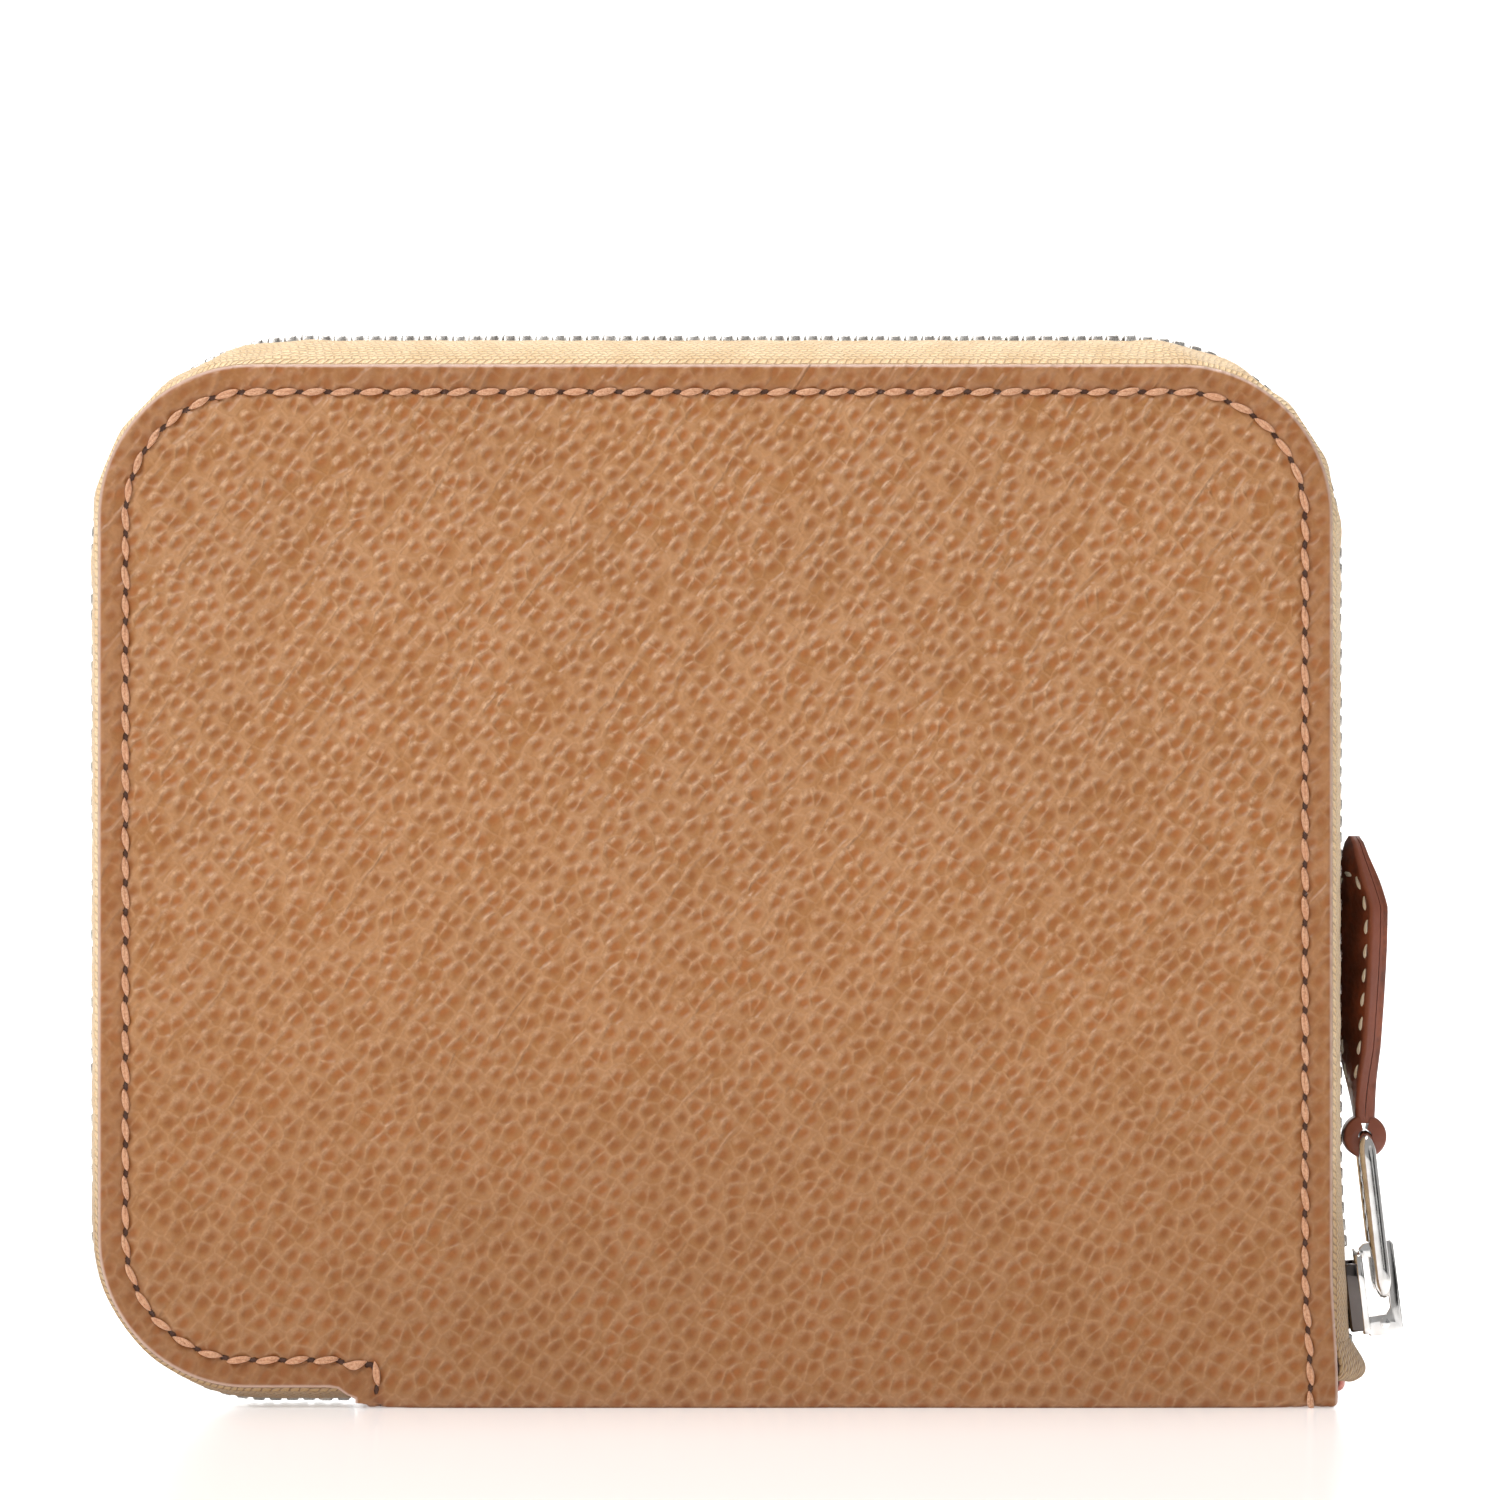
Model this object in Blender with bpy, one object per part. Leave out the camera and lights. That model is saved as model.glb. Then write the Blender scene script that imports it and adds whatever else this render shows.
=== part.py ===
"""Compact zip-around leather wallet, closed and standing upright on its spine.

Frame: +X to the right along the spine, +Z up, -Y towards the front cover.
Origin: on the flat underside of the spine leather, midway between the two covers.
Blender units are metres; the dimensions below are written in millimetres and scaled by MM.
"""
from math import cos, pi, radians, sin

import bmesh
import bpy
from mathutils import Vector

MM = 0.001
GAP = 0.3                      # running gap between neighbouring pieces

# Covers ---------------------------------------------------------------------------------------
HALF_WIDTH = 60.5              # leather edge to the wallet's middle
HALF_DEPTH = 11.0              # outer face of a cover to the wallet's middle plane
COVER_TOP = 102.3
COVER_TOP_RADIUS = 15.0
COVER_TAIL_BOTTOM = 2.0        # lower edge of a cover beyond the end of the spine
COVER_TAIL_RADIUS = 14.7
LEATHER = 1.3                  # outer leather thickness, and the radius of the rolled fold
SPINE_LEFT = -35.3             # the spine ends here; the zip runs on past it
ROLL_STEPS = 6
CORNER_STEPS = 6

# Zip ------------------------------------------------------------------------------------------
CHAIN_LEFT = -61.6             # outermost line of the teeth on each side
CHAIN_RIGHT = 61.8
CHAIN_TOP = 105.4
CHAIN_BOTTOM = 0.35
CHAIN_TOP_RADIUS = 21.0
CHAIN_TAIL_RADIUS = 17.6
ZIP_START_Z = 5.6              # closed end, on the right side above the spine
ZIP_END_X = -36.0              # tail end, just past the spine
TAPE = 0.5                     # tape thickness
TAPE_MARGIN = 4.3              # width sewn in behind the leather
TAPE_FACE = 9.4                # the margin's outer face, from the middle plane
TAPE_EDGE = 2.7                # free edge of the tape, from the middle plane
CHAIN_NEAR = 0.6               # tooth tips and cord side of a chain, from the middle plane
CHAIN_GAP_NEAR = 1.5
CHAIN_FAR = 2.4
TOOTH_DEPTH = 1.6
TOOTH_PITCH = 3.32             # one tooth here stands for two 1.66 mm teeth of the real chain
STOP_LENGTH = 0.6

# Inside of the covers ---------------------------------------------------------------------------
BOARD_INSET = 5.2
BOARD_FACE = 9.4
BOARD = 0.8
BOARD_BOTTOM = 7.5
LINING_INSET = 3.0
LINING_FACE = 8.2
LINING = 0.4
LINING_BOTTOM = 3.2
POCKET_HALF_WIDTH = 47.0
POCKET_BOTTOM = 6.0
POCKET_FACE = 7.5
POCKET_LEATHER = 0.65
CARD_POCKETS = 4
CARD_POCKET_TOP = 86.0
CARD_POCKET_STEP = 12.0        # each pocket mouth lies this much lower than the one behind it
SLIP_POCKET_TOP = 78.0
SLIP_POCKET_CURVE = 7.0        # dip of the thumb cut in the slip pocket's mouth

# Spine and coin purse ---------------------------------------------------------------------------
SPINE_HALF = HALF_DEPTH - 2 * LEATHER - GAP
SPINE_LINING_BOTTOM = LEATHER + GAP
SPINE_LINING_TOP = 2.7
SPINE_LINING_HALF = 7.0
PURSE_MIDDLE = 0.6             # the purse hangs this far behind the middle plane
PURSE_HALF_WIDTH = 47.0
PURSE_HALF_DEPTH = 2.8
PURSE_LEATHER = 0.6
PURSE_BOTTOM = 3.0
PURSE_TOP = 83.0
PURSE_CORNER = 5.0
PURSE_NOTCH_X = -34.0          # left of here the purse is cut away, so that the zip's tail swings clear
PURSE_NOTCH_TOP = 8.6
PURSE_GUSSET_INSET = 0.4
PURSE_GUSSET_WALL = 0.5
PURSE_TAPE = 0.4
PURSE_TAPE_HALF = 45.7
PURSE_TAPE_BOTTOM = 76.0
PURSE_TAPE_TOP = 84.6
PURSE_CHAIN_BOTTOM = 84.9
PURSE_CHAIN_TOP = 86.1
PURSE_CHAIN_HALF = 45.0
PURSE_TOOTH_PITCH = 3.0

# Main slider, its bail and its leather tab --------------------------------------------------------
SLIDER_BOTTOM = 6.6
SLIDER_TOP = 15.2
SLIDER_INNER = (58.9, 59.6)    # inner plate, along X
SLIDER_OUTER = (62.3, 64.3)    # outer plate, along X
SLIDER_POST_HALF = 0.25
SLIDER_POST_Z = (7.4, 9.0)
SLIDER_HALF_PLAN = ((2.8, SLIDER_BOTTOM), (4.1, 8.0), (4.1, 10.2), (3.4, 14.4), (2.8, SLIDER_TOP))
BRIDGE_X = (64.6, 67.8)
BRIDGE_WINDOW_X = 66.9
BRIDGE_Z = (6.2, 15.7)
BRIDGE_WINDOW_Z = (8.9, 14.3)
BRIDGE_HALF = 2.0
BAIL_PIVOT = (66.0, 10.8)      # X and Z of the bail's lower bar
TAB_PIVOT = (64.2, 26.3)       # X and Z of the bail's top bar
BAIL_THICKNESS = 1.3
BAIL_OUTER_HALF = 3.6
BAIL_INNER_HALF = 2.6
BAIL_BAR_HALF = 0.5
TAB_LOOP = 2.0                 # outer radius of the tab's loop round the bail
TAB_HOLE = 1.05
TAB_NECK_HALF = 2.3
TAB_BLADE_HALF = 4.4
TAB_FACE_X = (62.7, 64.6)
TAB_TOP = 56.0
TAB_LOOP_TURN = (50, -230)     # the loop's first and last angle about the bail's bar
TAB_LOOP_STEPS = 10
TAB_CLOSING_Z = 30.5           # the strip's two ends meet here
TAB_CLOSING_HALF = 0.3
TAB_NECK = (1.9, 29.6)
TAB_HALF_PLAN = (TAB_NECK, (3.4, 31.5), (TAB_BLADE_HALF, 36.0), (TAB_BLADE_HALF, 50.5), (3.6, 52.0),
                 (0.0, TAB_TOP))
TAB_SEAM_FOOT = 31.0
TAB_SEAM_WIDTH = 0.72          # the seam's outline, as shares of the tab's half width and height
TAB_SEAM_HEIGHT = 0.9
TAB_SKIN = 0.02                # the blade lies this much inside the loop's faces

# Coin purse slider --------------------------------------------------------------------------------
PURSE_SLIDER_X = (36.5, 44.5)
PURSE_PIVOT = (40.5, 88.2)     # X and Z of the little puller's bar
PURSE_PULL_LENGTH = 12.5
PURSE_PLATE_Z = (86.5, 87.1)
PURSE_PLATE_HALF = 2.2
PURSE_UNDER_Z = (83.9, 84.5)
PURSE_UNDER_HALF = 1.2
PURSE_POST_HALF = 0.2
PURSE_POST_FROM_END = (2.0, 0.6)
STAPLE_FOOT = 87.4
STAPLE_HALF = (2.1, 1.3)       # half spans outside and inside the staple
STAPLE_RISE = (1.6, 1.0)       # the staple's outer and inner top above the puller's bar
STAPLE_HALF_WIDTH = 0.7
PULLER_HALF_THICKNESS = 0.4
PULLER_BAR = (0.4, 1.8, -0.4, 1.0)
PULLER_TIP = (-PURSE_PULL_LENGTH, 1.4, -3.1, 1.0)

# Stitching ----------------------------------------------------------------------------------------
THREAD_RADIUS = 0.22
SEAM_INSET = 2.7
TAIL_SEAM_X = -33.0

FRONT = -1
REAR = 1

CAMEL = (0.46, 0.21, 0.085)
COTTON = (0.72, 0.52, 0.30)
CORAL = (0.80, 0.33, 0.26)
CARD = (0.25, 0.20, 0.15)
THREAD = (0.70, 0.36, 0.21)
PALE_THREAD = (0.85, 0.75, 0.60)
RUSSET = (0.19, 0.05, 0.02)
SILVER = (0.80, 0.80, 0.80)
NICKEL = (0.62, 0.60, 0.57)


# Objects and materials ------------------------------------------------------------------------------

def clear_scene():
    """Remove whatever objects the scene holds."""
    for thing in list(bpy.data.objects):
        bpy.data.objects.remove(thing, do_unlink=True)


def finish_as(thing, colour, roughness, metallic=0.0):
    """Give an object a material of its own."""
    look = bpy.data.materials.new(thing.name + "_material")
    look.use_nodes = True
    shader = look.node_tree.nodes["Principled BSDF"]
    shader.inputs["Base Color"].default_value = (*colour, 1.0)
    shader.inputs["Roughness"].default_value = roughness
    shader.inputs["Metallic"].default_value = metallic
    thing.data.materials.append(look)
    look.diffuse_color = (*colour, 1.0)


def place(name, data, parent=None, pivot=(0.0, 0.0, 0.0)):
    """Link a new object whose data is drawn round its pivot, both in millimetres."""
    thing = bpy.data.objects.new(name, data)
    bpy.context.collection.objects.link(thing)
    thing.location = Vector(pivot) * MM
    if parent is not None:
        thing.parent = parent
        thing.location -= parent.matrix_basis.translation
    return thing


def mesh_from(name, points, faces, pivot=(0.0, 0.0, 0.0)):
    """A closed mesh from points in the wallet's frame, with its faces turned outwards."""
    bm = bmesh.new()
    corner = [bm.verts.new((Vector(point) - Vector(pivot)) * MM) for point in points]
    for face in faces:
        bm.faces.new([corner[index] for index in face])
    bmesh.ops.recalc_face_normals(bm, faces=bm.faces)
    mesh = bpy.data.meshes.new(name)
    bm.to_mesh(mesh)
    bm.free()
    return mesh


def prism(name, outline, low, high, along, pivot=(0.0, 0.0, 0.0)):
    """An outline pushed through from low to high along axis X, Y or Z."""
    def lift(point, level):
        a, b = point
        return {"X": (level, a, b), "Y": (a, level, b), "Z": (a, b, level)}[along]

    count = len(outline)
    points = [lift(point, low) for point in outline] + [lift(point, high) for point in outline]
    faces = [list(range(count)), list(range(count, 2 * count))]
    for index in range(count):
        after = (index + 1) % count
        faces.append([index, after, count + after, count + index])
    return mesh_from(name, points, faces, pivot)


def loft(name, rings, closed=False, pivot=(0.0, 0.0, 0.0)):
    """A skin through matching rings of points, with flat ends unless the rings close on themselves."""
    size = len(rings[0])
    points = [point for ring in rings for point in ring]
    faces = []
    spans = len(rings) if closed else len(rings) - 1
    for ring in range(spans):
        here = ring * size
        there = ((ring + 1) % len(rings)) * size
        for index in range(size):
            after = (index + 1) % size
            faces.append([here + index, here + after, there + after, there + index])
    if not closed:
        faces.append(list(range(size)))
        faces.append([len(points) - size + index for index in range(size)])
    return mesh_from(name, points, faces, pivot)


def box_outline(a_low, a_high, b_low, b_high):
    return [(a_low, b_low), (a_high, b_low), (a_high, b_high), (a_low, b_high)]


def arc(centre, radius, start, end, steps):
    """Points along an arc; angles in degrees, both ends included."""
    turn = [radians(start + (end - start) * step / steps) for step in range(steps + 1)]
    return [(centre[0] + radius * cos(angle), centre[1] + radius * sin(angle)) for angle in turn]


def sheet_outline(left, right, bottom, top, top_radius, left_radius, steps=CORNER_STEPS):
    """A sheet with round upper corners, a round lower left corner and a square lower right one."""
    outline = [(right, bottom)]
    outline += arc((right - top_radius, top - top_radius), top_radius, 0, 90, steps)
    outline += arc((left + top_radius, top - top_radius), top_radius, 90, 180, steps)
    outline += arc((left + left_radius, bottom + left_radius), left_radius, 180, 270, steps)
    return outline


def unite(base, extra):
    """Join a helper solid to a base with a Boolean; the helper itself stays out of the model."""
    extra.hide_render = True
    extra.display_type = "WIRE"
    joint = base.modifiers.new("join_" + extra.name, "BOOLEAN")
    joint.operation = "UNION"
    joint.object = extra


def thread_curve(name, points, closed=False, pivot=(0.0, 0.0, 0.0)):
    """A sewing thread: a thin round tube through the given points."""
    curve = bpy.data.curves.new(name, "CURVE")
    curve.dimensions = "3D"
    curve.bevel_depth = THREAD_RADIUS * MM
    curve.bevel_resolution = 1
    curve.use_fill_caps = True
    spline = curve.splines.new("POLY")
    spline.points.add(len(points) - 1)
    spline.use_cyclic_u = closed
    for knot, point in zip(spline.points, points):
        knot.co = (*((Vector(point) - Vector(pivot)) * MM), 1.0)
    return curve


# The way round the wallet's edge ----------------------------------------------------------------------

class EdgeRoute:
    """From the lower right, up the side, over the top and down to the lower left corner."""

    def __init__(self, left, right, bottom, top, top_radius, tail_radius, start_z, end_x):
        self.start = (right, start_z)
        self.end = (end_x, bottom)
        self.corners = [
            ((right - top_radius, top - top_radius), top_radius, 0.0),
            ((left + top_radius, top - top_radius), top_radius, pi / 2),
            ((left + tail_radius, bottom + tail_radius), tail_radius, pi),
        ]

    def stops(self, steps=CORNER_STEPS):
        """Matching stops of (point, outward normal): both ends and every corner's arc."""
        found = [(Vector(self.start), Vector((1, 0)))]
        for centre, radius, first in self.corners:
            for step in range(steps + 1):
                angle = first + pi / 2 * step / steps
                normal = Vector((cos(angle), sin(angle)))
                found.append((Vector(centre) + normal * radius, normal))
        found.append((Vector(self.end), Vector((0, -1))))
        return found

    def walk(self, pitch):
        """Stops at an even pitch along the route."""
        fine = self.stops(steps=24)
        length = sum((after[0] - before[0]).length for before, after in zip(fine, fine[1:]))
        count = round(length / pitch)
        found = []
        travelled = 0.0
        for before, after in zip(fine, fine[1:]):
            span = (after[0] - before[0]).length
            while len(found) <= count and len(found) * length / count <= travelled + span + 1e-9:
                part = (len(found) * length / count - travelled) / span
                point = before[0].lerp(after[0], part)
                found.append((point, before[1].lerp(after[1], part).normalized()))
            travelled += span
        return found


LEATHER_ROUTE = EdgeRoute(-HALF_WIDTH, HALF_WIDTH, COVER_TAIL_BOTTOM, COVER_TOP,
                          COVER_TOP_RADIUS, COVER_TAIL_RADIUS, ZIP_START_Z, ZIP_END_X)
CHAIN_ROUTE = EdgeRoute(CHAIN_LEFT, CHAIN_RIGHT, CHAIN_BOTTOM, CHAIN_TOP,
                        CHAIN_TOP_RADIUS, CHAIN_TAIL_RADIUS, ZIP_START_Z, ZIP_END_X)
TEETH_ROUTE = EdgeRoute(CHAIN_LEFT, CHAIN_RIGHT, CHAIN_BOTTOM, CHAIN_TOP, CHAIN_TOP_RADIUS,
                        CHAIN_TAIL_RADIUS, ZIP_START_Z + STOP_LENGTH + GAP,
                        ZIP_END_X - STOP_LENGTH - GAP)


def inward(stop, inset, depth):
    """The point that lies inset from a stop towards the wallet's middle, at the given depth."""
    point, normal = stop
    place_in = point - normal * inset
    return (place_in.x, depth, place_in.y)


# Pieces of a cover ------------------------------------------------------------------------------------

def cover_leather(side, name, parent):
    """Outer leather of one cover, with its lower edge rolled round the fold line."""
    outer = side * HALF_DEPTH
    inner = side * (HALF_DEPTH - LEATHER)
    outline = [(HALF_WIDTH, LEATHER)]
    outline += [tuple(point) for point, normal in LEATHER_ROUTE.stops()[1:-1]]
    outline += [(SPINE_LEFT, COVER_TAIL_BOTTOM), (SPINE_LEFT, LEATHER)]
    count = len(outline)
    points = [(x, outer, z) for x, z in outline] + [(x, inner, z) for x, z in outline]
    faces = [list(range(count)), list(range(count, 2 * count))]
    for index in range(count - 1):
        faces.append([index, index + 1, count + index + 1, count + index])
    roll = []
    for step in range(1, ROLL_STEPS + 1):
        angle = pi * step / ROLL_STEPS
        depth = side * (HALF_DEPTH - LEATHER + LEATHER * cos(angle))
        roll.append((depth, LEATHER - LEATHER * sin(angle)))
    right = [0] + [len(points) + step for step in range(ROLL_STEPS)] + [count]
    points += [(HALF_WIDTH, depth, z) for depth, z in roll]
    left = [count - 1] + [len(points) + step for step in range(ROLL_STEPS)] + [2 * count - 1]
    points += [(SPINE_LEFT, depth, z) for depth, z in roll]
    faces += [right, left]
    for step in range(len(right) - 1):
        faces.append([right[step], right[step + 1], left[step + 1], left[step]])
    pivot = parent_pivot(parent)
    leather = place(name, mesh_from(name, points, faces, pivot), parent, pivot)
    finish_as(leather, CAMEL, 0.5)


def parent_pivot(parent):
    """Where a parent empty stands, in millimetres."""
    return tuple(parent.matrix_basis.translation / MM)


def cover_sheet(name, side, outline, face, thickness, parent, colour, roughness):
    """A flat sheet inside a cover; face is its outer side, measured from the middle plane."""
    pivot = parent_pivot(parent)
    mesh = prism(name, outline, side * face, side * (face - thickness), "Y", pivot)
    sheet = place(name, mesh, parent, pivot)
    finish_as(sheet, colour, roughness)


def zip_tape(side, name, parent):
    """Cotton tape: a margin flat behind the leather, then round the edge towards the teeth."""
    rings = []
    for leather, chain in zip(LEATHER_ROUTE.stops(), CHAIN_ROUTE.stops()):
        rings.append([
            inward(leather, TAPE_MARGIN, side * TAPE_FACE),
            inward(leather, 0.4, side * TAPE_FACE),
            inward(chain, 1.3, side * 5.0),
            inward(chain, 1.0, side * TAPE_EDGE),
            inward(chain, 1.0 + TAPE, side * TAPE_EDGE),
            inward(chain, 1.3 + TAPE, side * 4.8),
            inward(leather, 1.0, side * (TAPE_FACE - TAPE)),
            inward(leather, TAPE_MARGIN, side * (TAPE_FACE - TAPE)),
        ])
    pivot = parent_pivot(parent)
    tape = place(name, loft(name, rings, pivot=pivot), parent, pivot)
    finish_as(tape, COTTON, 0.9)


def zip_teeth(side, name, parent):
    """One row of teeth: a bar along the tape's edge that narrows between one tooth and the next."""
    rings = []
    for index, stop in enumerate(TEETH_ROUTE.walk(TOOTH_PITCH / 2)):
        near = CHAIN_NEAR if index % 2 else CHAIN_GAP_NEAR
        rings.append([
            inward(stop, 0.0, side * near),
            inward(stop, 0.0, side * CHAIN_FAR),
            inward(stop, TOOTH_DEPTH, side * CHAIN_FAR),
            inward(stop, TOOTH_DEPTH, side * near),
        ])
    pivot = parent_pivot(parent)
    teeth = place(name, loft(name, rings, pivot=pivot), parent, pivot)
    finish_as(teeth, NICKEL, 0.3, 1.0)


def end_stop(side, name, parent, x_span, z_span):
    """A small metal clip pinched on the tape at an end of the chain."""
    pivot = parent_pivot(parent)
    outline = box_outline(*x_span, *z_span)
    mesh = prism(name, outline, side * CHAIN_NEAR, side * CHAIN_FAR, "Y", pivot)
    stop = place(name, mesh, parent, pivot)
    finish_as(stop, NICKEL, 0.3, 1.0)


def seam_thread(side, name, parent):
    """The stitched line round a cover, just clear of the leather's face."""
    depth = side * (HALF_DEPTH + GAP + THREAD_RADIUS)
    points = [(HALF_WIDTH - SEAM_INSET, depth, LEATHER)]
    for stop in LEATHER_ROUTE.stops()[1:-1]:
        points.append(inward(stop, SEAM_INSET, depth))
    points.append((TAIL_SEAM_X, depth, COVER_TAIL_BOTTOM + SEAM_INSET))
    points.append((TAIL_SEAM_X, depth, LEATHER))
    pivot = parent_pivot(parent)
    seam = place(name, thread_curve(name, points, pivot=pivot), parent, pivot)
    finish_as(seam, THREAD, 0.7)


def slip_pocket_outline():
    """A pocket sheet whose mouth dips in the middle, so that a thumb can reach the notes."""
    half = POCKET_HALF_WIDTH
    outline = [(-half, POCKET_BOTTOM), (half, POCKET_BOTTOM)]
    steps = 12
    for step in range(steps + 1):
        part = step / steps
        dip = SLIP_POCKET_CURVE * sin(pi * part)
        outline.append((half - 2 * half * part, SLIP_POCKET_TOP - dip))
    return outline


def cover(side, word, parent):
    """Everything that swings with one cover and is the same on both."""
    cover_leather(side, word + "_cover_leather", parent)
    board = sheet_outline(-HALF_WIDTH + BOARD_INSET, HALF_WIDTH - BOARD_INSET, BOARD_BOTTOM,
                          COVER_TOP - BOARD_INSET, 10.0, 10.0)
    cover_sheet(word + "_stiffener_board", side, board, BOARD_FACE, BOARD, parent, CARD, 0.9)
    lining = sheet_outline(-HALF_WIDTH + LINING_INSET, HALF_WIDTH - LINING_INSET, LINING_BOTTOM,
                           COVER_TOP - LINING_INSET, 12.0, 12.0)
    cover_sheet(word + "_lining", side, lining, LINING_FACE, LINING, parent, CORAL, 0.6)
    zip_tape(side, word + "_zip_tape", parent)
    zip_teeth(side, word + "_zip_teeth", parent)
    end_stop(side, word + "_closed_end_stop", parent, (CHAIN_RIGHT - TOOTH_DEPTH, CHAIN_RIGHT),
             (ZIP_START_Z, ZIP_START_Z + STOP_LENGTH))
    end_stop(side, word + "_tail_end_stop", parent, (ZIP_END_X - STOP_LENGTH, ZIP_END_X),
             (CHAIN_BOTTOM, CHAIN_BOTTOM + TOOTH_DEPTH))
    seam_thread(side, word + "_seam_thread", parent)


def card_pockets(parent):
    """Four card pockets on the rear cover, each mouth lower than the one behind it."""
    for tier in range(CARD_POCKETS):
        top = CARD_POCKET_TOP - tier * CARD_POCKET_STEP
        face = POCKET_FACE - tier * (POCKET_LEATHER + GAP)
        outline = box_outline(-POCKET_HALF_WIDTH, POCKET_HALF_WIDTH, POCKET_BOTTOM, top)
        cover_sheet("card_pocket_%d" % (tier + 1), REAR, outline, face, POCKET_LEATHER,
                    parent, CAMEL, 0.5)


# Spine and coin purse -----------------------------------------------------------------------------------

def spine():
    """The strip of leather between the two folds, and the lined stiffener on it."""
    outline = box_outline(SPINE_LEFT, HALF_WIDTH, -SPINE_HALF, SPINE_HALF)
    leather = place("spine_leather", prism("spine_leather", outline, 0.0, LEATHER, "Z"))
    finish_as(leather, CAMEL, 0.5)
    outline = box_outline(SPINE_LEFT + 0.5, HALF_WIDTH - 2.5, -SPINE_LINING_HALF, SPINE_LINING_HALF)
    mesh = prism("spine_lining", outline, SPINE_LINING_BOTTOM, SPINE_LINING_TOP, "Z")
    finish_as(place("spine_lining", mesh), CORAL, 0.6)


def purse_depth(side, offset):
    """Depth of a purse layer whose outer side lies offset inside the purse's own outer face."""
    return PURSE_MIDDLE + side * (PURSE_HALF_DEPTH - offset)


def purse_path(inset):
    """The purse's closed edge, from its upper left round the notch and the bottom to its upper right."""
    half = PURSE_HALF_WIDTH - inset
    centre = (PURSE_CORNER - PURSE_HALF_WIDTH, PURSE_NOTCH_TOP + PURSE_CORNER)
    path = [(-half, PURSE_TOP)]
    path += arc(centre, PURSE_CORNER - inset, 180, 270, CORNER_STEPS)
    notch = PURSE_NOTCH_X + inset
    path += [(notch, PURSE_NOTCH_TOP + inset), (notch, PURSE_BOTTOM + inset)]
    path += [(half, PURSE_BOTTOM + inset), (half, PURSE_TOP)]
    return path


def coin_purse():
    """The zipped purse that stands on the spine between the covers."""
    panel = purse_path(0.0)
    for side, word in ((FRONT, "front"), (REAR, "rear")):
        name = "purse_%s_panel" % word
        mesh = prism(name, panel, purse_depth(side, 0), purse_depth(side, PURSE_LEATHER), "Y")
        finish_as(place(name, mesh), CAMEL, 0.5)
        purse_tape(side, "purse_%s_tape" % word)
        purse_teeth(side, "purse_%s_teeth" % word)
    purse_gusset()


def purse_tape(side, name):
    """A straight tape sewn inside a panel's mouth."""
    outline = box_outline(-PURSE_TAPE_HALF, PURSE_TAPE_HALF, PURSE_TAPE_BOTTOM, PURSE_TAPE_TOP)
    outer = purse_depth(side, PURSE_LEATHER + GAP)
    inner = purse_depth(side, PURSE_LEATHER + GAP + PURSE_TAPE)
    finish_as(place(name, prism(name, outline, outer, inner, "Y")), COTTON, 0.9)


def purse_teeth(side, name):
    """A straight comb of teeth along a purse tape."""
    outer = purse_depth(side, PURSE_LEATHER + GAP)
    root = purse_depth(side, PURSE_LEATHER + GAP + 0.7)
    tip = PURSE_MIDDLE + side * 0.5
    half = PURSE_CHAIN_HALF
    outline = [(half, outer), (-half, outer)]
    count = round(2 * half / PURSE_TOOTH_PITCH)
    for tooth in range(count):
        start = -half + tooth * PURSE_TOOTH_PITCH
        outline.append((start, root))
        outline.append((start + 0.3 * PURSE_TOOTH_PITCH, tip))
        outline.append((start + 0.7 * PURSE_TOOTH_PITCH, tip))
    outline.append((half, root))
    mesh = prism(name, outline, PURSE_CHAIN_BOTTOM, PURSE_CHAIN_TOP, "Z")
    finish_as(place(name, mesh), NICKEL, 0.3, 1.0)


def purse_gusset():
    """The folded strip that closes the purse's two sides, its notch and its bottom."""
    name = "purse_gusset"
    outer = purse_path(PURSE_GUSSET_INSET)
    inner = purse_path(PURSE_GUSSET_INSET + PURSE_GUSSET_WALL)
    low = purse_depth(FRONT, PURSE_LEATHER + GAP)
    high = purse_depth(REAR, PURSE_LEATHER + GAP)
    finish_as(place(name, prism(name, outer + inner[::-1], low, high, "Y")), CORAL, 0.6)


# Sliders and pulls ----------------------------------------------------------------------------------------

def empty_at(name, x, y, z):
    """An empty that stands on a joint's axis, in millimetres."""
    pivot = bpy.data.objects.new(name, None)
    bpy.context.collection.objects.link(pivot)
    pivot.matrix_basis.translation = Vector((x, y, z)) * MM
    return pivot


def slider_outline():
    """Plan of the slider's plates in Y and Z: broad shoulders below, narrower above."""
    return list(SLIDER_HALF_PLAN) + [(-y, z) for y, z in reversed(SLIDER_HALF_PLAN)]


def main_slider(parent):
    """Body of the main slider: two plates held apart by a post, open to both tapes."""
    pivot = parent_pivot(parent)
    outer = prism("slider_body", slider_outline(), *SLIDER_OUTER, "X", pivot)
    body = place("slider_body", outer, parent, pivot)
    finish_as(body, SILVER, 0.12, 1.0)
    inner = prism("slider_inner_plate", slider_outline(), *SLIDER_INNER, "X", pivot)
    unite(body, place("slider_inner_plate", inner, parent, pivot))
    post = box_outline(SLIDER_INNER[0] + GAP, SLIDER_OUTER[1] - GAP, *SLIDER_POST_Z)
    mesh = prism("slider_post", post, -SLIDER_POST_HALF, SLIDER_POST_HALF, "Y", pivot)
    unite(body, place("slider_post", mesh, parent, pivot))
    base, cap = BRIDGE_X
    low, high = BRIDGE_Z
    sill, head = BRIDGE_WINDOW_Z
    outline = [(base, low), (cap, low), (cap, high), (base, high), (base, head),
               (BRIDGE_WINDOW_X, head), (BRIDGE_WINDOW_X, sill), (base, sill)]
    mesh = prism("slider_bridge", outline, -BRIDGE_HALF, BRIDGE_HALF, "Y", pivot)
    finish_as(place("slider_bridge", mesh, parent, pivot), SILVER, 0.1, 1.0)


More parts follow.
